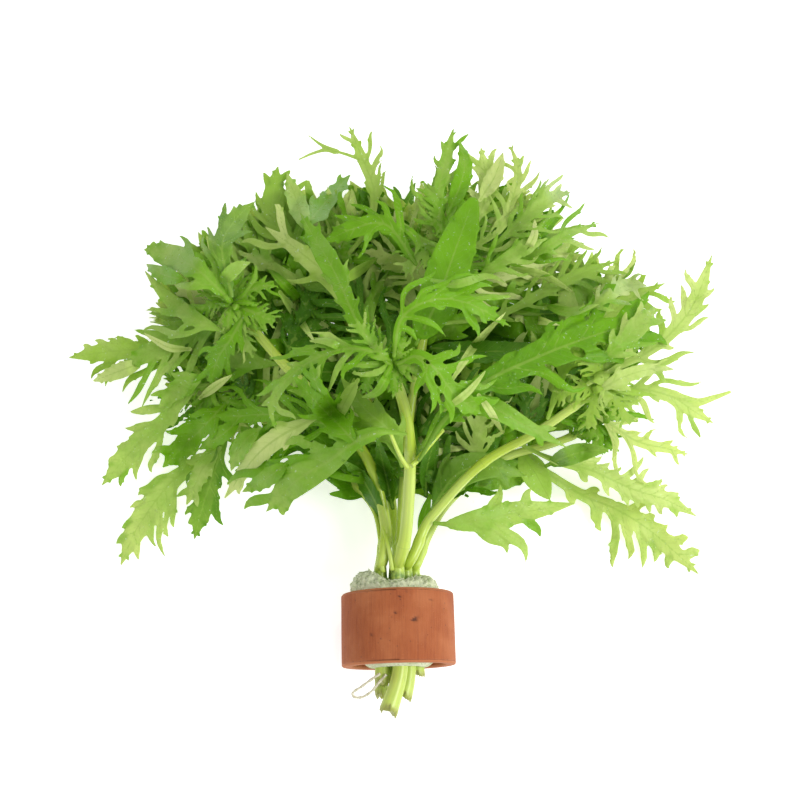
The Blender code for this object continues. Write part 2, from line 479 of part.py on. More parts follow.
def tuft_skin(tuft):
    """A shoot tip as a star: a thick middle and one pointed young leaf towards each end."""
    middle = np.array(tuft["middle"], float)
    tips = sorted((np.array(tip, float) for tip in tuft["tips"]),
                  key=lambda tip: math.atan2(tip[1] - middle[1], tip[0] - middle[0]))
    places, heights, half, triangles = [tuple(middle[:2])], [middle[2]], [1.0], []

    def add(point, thickness):
        places.append((point[0], point[1]))
        heights.append(point[2])
        half.append(thickness)
        return len(places) - 1

    notches, cores, ends, flanks = [], [], [], []
    for tip, after in zip(tips, tips[1:] + tips[:1]):
        between = 0.5 * (tip + after) - middle
        notches.append(add(middle + between * 2.6 / max(np.linalg.norm(between[:2]), 1.0), 0.0))
        line = tip - middle
        size = np.linalg.norm(line[:2])
        across = np.array([-line[1], line[0], 0.0]) / size * 1.9
        cores.append(add(middle + 0.55 * line + np.array([0, 0, 0.8]), 0.3))
        flanks.append((add(middle + 0.55 * line - across, 0.0), add(middle + 0.55 * line + across, 0.0)))
        ends.append(add(tip, 0.0))
    for i, core in enumerate(cores):
        right, left = flanks[i]
        before, after, end = notches[i - 1], notches[i], ends[i]
        triangles += [(0, before, right), (0, right, core), (0, core, left), (0, left, after),
                      (core, right, end), (core, end, left)]
    skin = Skin(tuft, None)
    skin.places, skin.heights, skin.half, skin.triangles = places, heights, half, triangles
    skin.shares = [0.5] * len(places)
    return skin


class Pile:
    """Highest surface so far over each cell of the plan, from which the next piece keeps clear."""

    def __init__(self):
        self.low = np.array(PLAN_LOW)
        self.shape = tuple(int(n) for n in (np.array(PLAN_HIGH) - self.low) / CELL)
        self.top = np.zeros(self.shape)
        self.top -= CLEARANCE

    def cells(self, places, triangle):
        """Cells that a triangle covers, with their barycentric shares."""
        corners = np.array([places[i] for i in triangle])
        low = np.floor((corners.min(axis=0) - self.low) / CELL).astype(int) - 1
        high = np.ceil((corners.max(axis=0) - self.low) / CELL).astype(int) + 1
        across, along = np.meshgrid(np.arange(low[0], high[0] + 1), np.arange(low[1], high[1] + 1),
                                    indexing="ij")
        spots = np.stack([across.ravel(), along.ravel()], axis=1) * CELL + self.low
        a, b, c = corners
        area = (b[0] - a[0]) * (c[1] - a[1]) - (c[0] - a[0]) * (b[1] - a[1])
        if abs(area) < 1e-6:
            return np.zeros((0, 2), int), np.zeros((0, 3))
        wb = ((spots[:, 0] - a[0]) * (c[1] - a[1]) - (c[0] - a[0]) * (spots[:, 1] - a[1])) / area
        wc = ((b[0] - a[0]) * (spots[:, 1] - a[1]) - (spots[:, 0] - a[0]) * (b[1] - a[1])) / area
        shares = np.stack([1 - wb - wc, wb, wc], axis=1)
        heights = np.array([np.linalg.norm(corners[i - 1] - corners[i - 2]) for i in range(3)])
        slack = 0.75 * CELL * heights / abs(area)
        keep = np.all(shares >= -slack, axis=1)
        shares = np.clip(shares[keep], 0, None)
        shares /= shares.sum(axis=1, keepdims=True)
        return np.stack([across.ravel()[keep], along.ravel()[keep]], axis=1), shares

    def need(self, places, bottoms, shares, triangles, bins):
        """How much each stretch along the piece has to rise to lie clear of what is below it."""
        rise = np.full(bins, -50.0)
        for triangle in triangles:
            cells, weights = self.cells(places, triangle)
            if len(cells) == 0:
                continue
            low = weights @ np.array([bottoms[i] for i in triangle])
            where = weights @ np.array([shares[i] for i in triangle])
            lack = self.top[cells[:, 0], cells[:, 1]] + CLEARANCE - low
            np.maximum.at(rise, np.clip((where * bins).astype(int), 0, bins - 1), lack)
        return rise

    def lay(self, places, tops, triangles):
        """Take the piece's upper side into the pile."""
        fresh = self.top.copy()
        for triangle in triangles:
            cells, weights = self.cells(places, triangle)
            if len(cells):
                high = weights @ np.array([tops[i] for i in triangle])
                np.maximum.at(fresh, (cells[:, 0], cells[:, 1]), high)
        self.top = fresh


def eased(rise):
    """Turn the rise that each stretch needs into a smooth rise that is nowhere less."""
    rise = np.maximum(rise, 0.0)
    reach = LIFT_REACH
    wide = np.pad(rise, 2 * reach, mode="edge")
    spread = np.array([wide[i:i + 2 * reach + 1].max() for i in range(len(wide) - 2 * reach)])
    return np.array([spread[i:i + 2 * reach + 1].mean() for i in range(len(rise))])


def settle_skin(skin, pile, even):
    """Raise a leaf or tuft until it lies clear on the pile, then add it to the pile."""
    half = np.array(skin.half)
    heights = np.array(skin.heights)
    heights = np.maximum(heights, half)
    shares = np.array(skin.shares)
    middles = (np.arange(LIFT_BINS) + 0.5) / LIFT_BINS
    for attempt in range(8):
        rise = pile.need(skin.places, heights - half, shares, skin.triangles, LIFT_BINS)
        if rise.max() <= 1e-4:
            break
        if even or attempt > 5:
            heights += rise.max()
        else:
            heights += np.interp(shares, middles, eased(rise))
    pile.lay(skin.places, heights + half, skin.triangles)
    skin.heights = list(heights)


def solid_from_skin(name, skin):
    """Close a skin into a lens: the rim is shared, the rest has an upper and a lower point."""
    mesh = bmesh.new()
    upper, lower = [], []
    for place, height, half in zip(skin.places, skin.heights, skin.half):
        upper.append(mesh.verts.new(in_space(*place, height + half) * MM))
        lower.append(upper[-1] if half == 0 else mesh.verts.new(in_space(*place, height - half) * MM))
    for a, b, c in skin.triangles:
        mesh.faces.new((upper[a], upper[b], upper[c]))
        if len({lower[a], lower[b], lower[c]} - {upper[a], upper[b], upper[c]}) > 0:
            mesh.faces.new((lower[a], lower[c], lower[b]))
    return finished(name, mesh)


def finished(name, mesh):
    """Make the object of a mesh."""
    data = bpy.data.meshes.new(name)
    mesh.to_mesh(data)
    mesh.free()
    body = bpy.data.objects.new(name, data)
    bpy.context.collection.objects.link(body)
    return body


def painted(body, colour, roughness):
    """Give an object a material of its own."""
    material = bpy.data.materials.new(body.name)
    material.use_nodes = True
    shader = material.node_tree.nodes["Principled BSDF"]
    shader.inputs["Base Color"].default_value = (*colour, 1.0)
    shader.inputs["Roughness"].default_value = roughness
    shader.inputs["Metallic"].default_value = 0.0
    body.data.materials.append(material)
    return body


def tube(name, line, radii, sides):
    """A round solid along a line, closed at both ends, with its mesh in millimetres."""
    line = [Vector(point) for point in line]
    ahead = [(line[min(i + 1, len(line) - 1)] - line[max(i - 1, 0)]).normalized() for i in range(len(line))]
    across = Vector((0, 0, 1)).cross(ahead[0])
    across = across.normalized() if across.length > 0.1 else Vector((1, 0, 0))
    points, faces = [], []
    for middle, way, radius in zip(line, ahead, radii):
        across = (across - way * across.dot(way)).normalized()
        upward = across.cross(way)
        for side in range(sides):
            turn = 2 * math.pi * side / sides
            points.append(middle + radius * (math.cos(turn) * across + math.sin(turn) * upward))
    for row in range(len(line) - 1):
        for side in range(sides):
            after = (side + 1) % sides
            corner = row * sides
            faces.append((corner + side, corner + side + sides, corner + after + sides, corner + after))
    faces.append(tuple(range(sides)))
    faces.append(tuple(reversed(range((len(line) - 1) * sides, len(line) * sides))))
    return points, faces


def body_of(name, points, faces):
    mesh = bmesh.new()
    corners = [mesh.verts.new(point * MM) for point in points]
    for face in faces:
        mesh.faces.new([corners[i] for i in face])
    bmesh.ops.recalc_face_normals(mesh, faces=mesh.faces)
    return finished(name, mesh)


def ring_frame(right, along, above):
    """A point of the ring's own frame (right of its axis, along it, above it) in space."""
    middle = in_space(RING_MIDDLE[0], RING_MIDDLE[1], AXIS_HEIGHT)
    turned = Vector((right * math.cos(RING_TURN) - along * math.sin(RING_TURN),
                     right * math.sin(RING_TURN) + along * math.cos(RING_TURN), above))
    return middle + turned


def turned_body(name, profile, sides, place):
    """Turn a closed profile (radius, along) once round the ring's axis."""
    points, faces = [], []
    for side in range(sides):
        turn = 2 * math.pi * (side + 0.5) / sides - math.pi / 2
        for index, (radius, along) in enumerate(profile):
            points.append(place(radius, along, turn, index))
    count = len(profile)
    for side in range(sides):
        here, there = side * count, (side + 1) % sides * count
        for index in range(count):
            after = (index + 1) % count
            faces.append((here + index, here + after, there + after, there + index))
    return body_of(name, points, faces)


def clay_ring():
    """The ring lies on one flat of its outside."""
    half, inner = RING_LENGTH / 2, RING_RADIUS - RING_WALL
    profile = [(RING_RADIUS, -half + RING_CHAMFER), (RING_RADIUS, half - RING_CHAMFER),
               (RING_RADIUS - RING_CHAMFER, half), (inner + RING_CHAMFER, half),
               (inner, half - RING_CHAMFER), (inner, -half + RING_CHAMFER),
               (inner + RING_CHAMFER, -half), (RING_RADIUS - RING_CHAMFER, -half)]

    def place(radius, along, turn, index):
        return ring_frame(radius * math.cos(turn), along, radius * math.sin(turn))

    return painted(turned_body("clay_ring", profile, RING_SIDES, place), (0.45, 0.13, 0.05), 0.85)


def foam_wrap():
    """The foam fills the ring round the stems and swells out at the leaf end."""
    half = RING_LENGTH / 2
    inside = RING_RADIUS - RING_WALL - FOAM_GAP
    profile = [(FOAM_HOLE, -half - FOAM_SHORT), (inside - 1.0, -half - FOAM_SHORT), (inside, -half + 0.5),
               (inside, half + 0.1), (inside + 0.2, half + 0.45 * FOAM_PROUD), (inside - 1.4, half + FOAM_PROUD),
               (FOAM_HOLE + 0.3, half + FOAM_PROUD - 0.6)]

    def place(radius, along, turn, index):
        lump = math.sin(3 * turn + 1.3 * index) + math.sin(7 * turn + 2.2 * index)
        if index in (4, 5):
            radius += 0.25 * FOAM_LUMP * (lump - 1.0)
        if index >= 4:
            along += 0.5 * FOAM_LUMP * lump
        if index in (0, 1):
            along -= 0.2 * FOAM_LUMP * (lump + 2.0)
        return ring_frame(radius * math.cos(turn), along, radius * math.sin(turn))

    return painted(turned_body("foam_wrap", profile, FOAM_SIDES, place), (0.62, 0.66, 0.55), 0.95)


def thread_loop():
    """A thin thread that comes out under the ring, turns back and goes in again."""
    way = [(-5.0, -68.4, 18.0), (-7.3, -70.0, 16.8), (-9.8, -71.8, 15.6), (-11.7, -73.1, 15.0),
           (-11.5, -74.2, 15.0), (-9.5, -74.3, 15.2), (-7.2, -72.9, 15.8), (-5.2, -70.6, 16.6),
           (-3.4, -68.6, 17.2)]
    line = [in_space(*row) for row in smooth_way(way, 3)]
    points, faces = tube("thread_loop", line, [THREAD_RADIUS] * len(line), 6)
    return painted(body_of("thread_loop", points, faces), (0.65, 0.63, 0.52), 0.6)


def stem_line(stem):
    """The stem's middle line: straight through the foam, then its own way through the bunch."""
    half = RING_LENGTH / 2
    right, above = stem["ring"]
    inside = [ring_frame(right + stem.get("cut_lean", 0.0), -half - stem["cut"], above)]
    inside += [ring_frame(right, along, above)
               for along in (-half - FOAM_SHORT - 1.0, 0.0, half + FOAM_PROUD + 1.0)]
    held = [(*on_plan(point), point.z) for point in inside]
    dense = smooth_way(held[-2:] + stem["way"], 6)[6:]
    run = np.concatenate([[0.0], np.cumsum(np.linalg.norm(np.diff(dense, axis=0), axis=1))])
    spots = np.linspace(0, run[-1], STEM_STEPS)
    free = np.stack([np.interp(spots, run, dense[:, axis]) for axis in range(3)], axis=1)
    return np.vstack([np.array(held[:-1]), free])


def stem_mesh(stem, line):
    """A round stem that thins towards its tip, with a swelling at each joint."""
    shares = np.linspace(0, 1, len(line))
    radii = [float(stem["radius"] * (1.0 - 0.3 * share + (0.12 if 0.35 < share < 0.95 and row % 3 == 0 else 0)))
             for row, share in enumerate(shares)]
    points, faces = tube(stem["name"], [in_space(*row) for row in line], radii, STEM_SIDES)
    return points, faces, np.repeat(shares, STEM_SIDES)


def lay_stem(stem, pile):
    """Raise a stem's free part until it lies clear on the pile, then add it to the pile."""
    line = stem_line(stem)
    shares = np.linspace(0, 1, len(line))
    free = np.clip((np.arange(len(line)) - HELD_POINTS + 1) / 2.0, 0.0, 1.0)
    middles = (np.arange(LIFT_BINS) + 0.5) / LIFT_BINS
    for attempt in range(8):
        points, faces, along = stem_mesh(stem, line)
        places = [on_plan(point) for point in points]
        triangles = [(face[0], face[i], face[i + 1]) for face in faces for i in range(1, len(face) - 1)]
        heights = [point.z for point in points]
        rise = pile.need(places, heights, along, triangles, LIFT_BINS)
        if rise.max() <= 1e-4:
            break
        line[:, 2] += np.interp(shares, middles, eased(rise)) * free
    pile.lay(places, heights, triangles)
    return painted(body_of(stem["name"], points, faces), (0.40, 0.52, 0.12), 0.45)


def clear_scene():
    for thing in list(bpy.data.objects):
        bpy.data.objects.remove(thing, do_unlink=True)


def build():
    """Make the holder, then lay stems, tufts and leaves layer by layer."""
    clear_scene()
    clay_ring()
    foam_wrap()
    thread_loop()
    pile = Pile()
    pieces = [(item["layer"], 0, item) for item in STEMS]
    pieces += [(item["layer"], 1, item) for item in TUFTS]
    pieces += [(item["layer"], 2, item) for item in LEAVES]
    pieces.sort(key=lambda piece: (piece[0], piece[1]))
    for layer, kind, item in pieces:
        if kind == 0:
            lay_stem(item, pile)
            continue
        skin = tuft_skin(item) if kind == 1 else leaf_skin(item)
        settle_skin(skin, pile, kind == 1)
        body = solid_from_skin(item["name"], skin)
        painted(body, GREENS[item.get("tone", "bright")], 0.4)


build()
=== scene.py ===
"""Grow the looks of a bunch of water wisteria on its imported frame.

The bunch lies on a pale floor with its cut stem ends towards -Y. Plan coordinates (right, up) are in
millimetres, drawn as the eye sees them that stands above the bunch; everything in Blender is in metres.
"""
import json
import math

import bpy
import numpy as np
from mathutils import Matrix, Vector

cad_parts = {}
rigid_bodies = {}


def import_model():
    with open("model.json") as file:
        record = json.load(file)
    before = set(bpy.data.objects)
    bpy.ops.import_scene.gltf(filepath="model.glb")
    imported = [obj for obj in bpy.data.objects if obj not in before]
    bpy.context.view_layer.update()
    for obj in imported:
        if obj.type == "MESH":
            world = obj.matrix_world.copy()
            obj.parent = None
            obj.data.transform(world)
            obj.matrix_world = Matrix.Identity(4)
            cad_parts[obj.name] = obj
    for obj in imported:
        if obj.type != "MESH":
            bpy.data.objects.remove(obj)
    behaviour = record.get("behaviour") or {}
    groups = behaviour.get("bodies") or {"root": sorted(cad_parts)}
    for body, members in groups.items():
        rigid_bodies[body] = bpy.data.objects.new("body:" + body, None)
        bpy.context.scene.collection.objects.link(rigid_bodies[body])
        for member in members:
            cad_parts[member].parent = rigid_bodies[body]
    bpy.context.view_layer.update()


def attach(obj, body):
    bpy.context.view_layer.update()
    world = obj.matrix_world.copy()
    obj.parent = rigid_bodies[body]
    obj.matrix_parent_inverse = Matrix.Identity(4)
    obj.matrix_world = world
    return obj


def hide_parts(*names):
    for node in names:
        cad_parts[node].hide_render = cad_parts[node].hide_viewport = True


bl_info = {
    "name": "Water Wisteria Bunch",
    "version": (1, 0, 0),
    "blender": (4, 5, 0),
    "location": "View3D > Sidebar > Wisteria",
    "description": "Grows a bunch of water wisteria, held in a clay ring, on its packed frame",
    "category": "Add Mesh",
}

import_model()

MM = 0.001

# Clay ring, as the frame has it
RING_RADIUS = 13.4
RING_LENGTH = 16.6
RING_WALL = 2.5
RING_CHAMFER = 0.5
RING_FLATS = 40
RING_TURN = math.radians(1.5)
RING_MIDDLE = (-0.5, -57.5)
FOAM_PROUD = 5.0

# The eye that the plan is drawn for
EYE_DISTANCE = 277.8
EYE_TILT = math.radians(17.3)
AXIS_HEIGHT = RING_RADIUS * math.cos(math.pi / RING_FLATS)
FOOTPRINT_MIDDLE = (-1.1, 0.0)

# Leaf outline
LOBE_LEAN = math.radians(36)
BARE_STRETCH = 0.23
WEB = 0.24
CLOSE_TIPS = 5.4
CLOSE_ROOTS = 5.0
SLIT_SHARE = 0.23
PETIOLE_HALF_WIDTH = 0.5
MIDRIB_HALF_WIDTH = 0.42
VEIN_END = 0.12
LOBE_VEIN = (0.2, 0.06)
HEADING_REACH = 0.04
SHORT_LOBE = 5.0
TOOTH = 0.9
TOOTHED_LOBE = 6
LEAST_SLIT = 0.9
FAR_OUT = -9.0
FAINT = 1e-12

# Shares of the midrib where lobes may leave it
FIRST_ROOT = 0.16
LAST_ROOT = 0.86
ROOT_LIMIT = 0.88
LAST_SPACE = 0.92

# Leaf substance, in mm
BLADE_CUP = 0.2
RUFFLE = 0.65
RUFFLE_SIZE = 3.4
EDGE_FADE = 0.35
YOUNG_COARSER = 1.35

# How freely a smooth plate passes by the points of a packed leaf or stem
LEAF_GIVE = 0.6
STEM_GIVE = 0.02

# Round pieces: spacing along a stem in mm, points once round each kind, ridges as a share of the radius
STEM_STEP = 0.75
STEM_SIDES = 28
STEM_RIDGE = 0.025
MOST_JOINTS = 9
PETIOLE_SIDES = 14
RING_SIDES = 160
FOAM_SIDES = 150
FOAM_SEED = 5
THREAD_SIDES = 12

# Pores in the ring's upper side: place right of its axis and along it, half width, half length and lean
PORES = ((3.9, 1.0, 1.0, 0.42, 0.5), (0.4, 6.2, 0.28, 0.2, 0.0), (2.2, 7.3, 0.22, 0.2, 0.0),
         (-0.6, 2.6, 0.25, 0.25, 0.0), (7.5, 5.4, 0.9, 0.10, 0.3), (-6.0, -2.0, 0.2, 0.2, 0.0))
PORE_DEPTH = 0.45

# Thread loop: its way (right, up, height) and radius
THREAD_WAY = [(-5.0, -68.4, 18.0), (-7.3, -70.0, 16.8), (-9.8, -71.8, 15.6), (-11.7, -73.1, 15.0),
              (-11.5, -74.2, 15.0), (-9.5, -74.3, 15.2), (-7.2, -72.9, 15.8), (-5.2, -70.6, 16.6),
              (-3.4, -68.6, 17.2)]
THREAD_RADIUS = 0.29

# Stage, in metres: the lamps' names, places, shares of the key light's power and widths; lens in mm
FLOOR_HALF = 3.0
LAMPS = (("key_light", (0.50, -0.12, 0.48), 1.0, 0.32), ("glint_light", (0.10, 0.30, 0.75), 0.14, 0.05),
         ("fill_light", (-0.45, -0.25, 0.45), 0.15, 0.6))
LENS = 50.0
SENSOR = 36.0

# Each stem: radius, place in the ring (right of the axis, above it), how far it stands out below the ring,
# and its way through the bunch (right, up); cut_lean carries the cut end to one side.
STEMS = [
    dict(name="stem_back_left", radius=1.3, ring=(0.3, -4.4), cut=1.5,
         way=[(-1, -36), (-3, -20), (-8, 0), (-13, 20), (-17, 33)]),
    dict(name="stem_lower_left", radius=1.3, ring=(-4.2, -1.8), cut=6.5,
         way=[(-4.3, -36), (-4.6, -31), (-7.5, -25), (-12.5, -20.5), (-22, -13), (-34, -5), (-45, 2)]),
    dict(name="stem_lower_right", radius=1.3, ring=(4.4, -1.8), cut=2.0,
         way=[(5.4, -38), (7, -33.7), (12.5, -25), (25, -15), (38, -11), (48, -7)]),
    dict(name="stem_back_top", radius=1.3, ring=(-0.6, -0.6), cut=2.5,
         way=[(0, -36), (1, -20), (3, 0), (7, 20), (11, 36)]),
    dict(name="stem_left", radius=1.5, ring=(-3.8, 1.6), cut=4.0,
         way=[(-3.6, -36), (-4, -28.7), (-8, -15), (-18, -2), (-30, 10), (-40, 22)]),
    dict(name="stem_right", radius=1.4, ring=(2.4, 1.2), cut=7.2, cut_lean=-1.4,
         way=[(4.2, -37), (6.2, -31.6), (10.2, -26.4), (15.2, -20.8), (20.4, -16), (26, -12.4),
              (31.6, -9.6), (37, -6.2), (49, 2.2)]),
    dict(name="stem_centre", radius=1.7, ring=(0.3, 4.2), cut=10.3, cut_lean=-3.0,
         way=[(1.2, -35), (2, -26.7), (2.5, -16.2), (2.2, -8), (0.5, 0.5), (-1.2, 5), (-2, 9)]),
]

# Each shoot tip: its middle and the ends of its young leaves (right, up, height); short lists the young
# leaves that stay small.
TUFTS = [
    dict(name="tuft_back_left", tone="bright", shade=-0.35, middle=(-17.5, 35, 10),
         tips=[(-4, 48, 17), (-14, 52, 13), (-24, 49, 9), (-33, 42, 6), (-31, 30, 6), (-22, 22, 9),
               (-10, 24, 15), (-2, 35, 18)]),
    dict(name="tuft_lower_left", tone="bright", middle=(-47, 3, 12),
         tips=[(-36, 9, 18), (-42, 17, 18), (-53, 16, 15), (-61, 8, 11), (-60, -3, 7), (-51, -11, 6),
               (-40, -9, 11), (-34, -1, 16)]),
    dict(name="tuft_lower_right", tone="bright", shade=0.0, middle=(49.5, -6, 13),
         tips=[(42, 6, 20), (51, 10, 19), (60, 5, 16), (65, -5, 10), (59, -13, 6), (49, -18, 7),
               (40, -15, 12), (36, -3, 17)], short=(4, 5, 6)),
    dict(name="tuft_back_top", tone="bright", middle=(11.5, 38, 29),
         tips=[(-1, 47, 33), (5, 55, 33), (15, 55, 30), (24, 49, 27), (27, 38, 25), (20, 27, 31),
               (9, 24, 34), (0, 32, 35)]),
    dict(name="tuft_left", tone="bright", middle=(-42, 24, 34),
         tips=[(-37, 34.5, 38), (-46, 37, 36), (-55, 31, 30), (-54, 20, 26), (-47, 12, 26),
               (-37, 11, 31), (-30, 19, 37), (-30, 28, 39)]),
    dict(name="tuft_right", tone="pale", middle=(51, 3.5, 37),
         tips=[(42, 13, 43), (52, 17, 41), (62, 12, 35), (65, 1, 29), (58, -7, 28), (48, -8, 31),
               (39, 0, 38)]),
    dict(name="tuft_centre", tone="bright", middle=(-2, 9.5, 51),
         tips=[(-9.5, 1, 46), (-15, 9, 51), (-22, 15, 48), (-11, 21, 55), (2, 22, 57), (7, 8, 53),
               (-2, 1, 50)]),
]

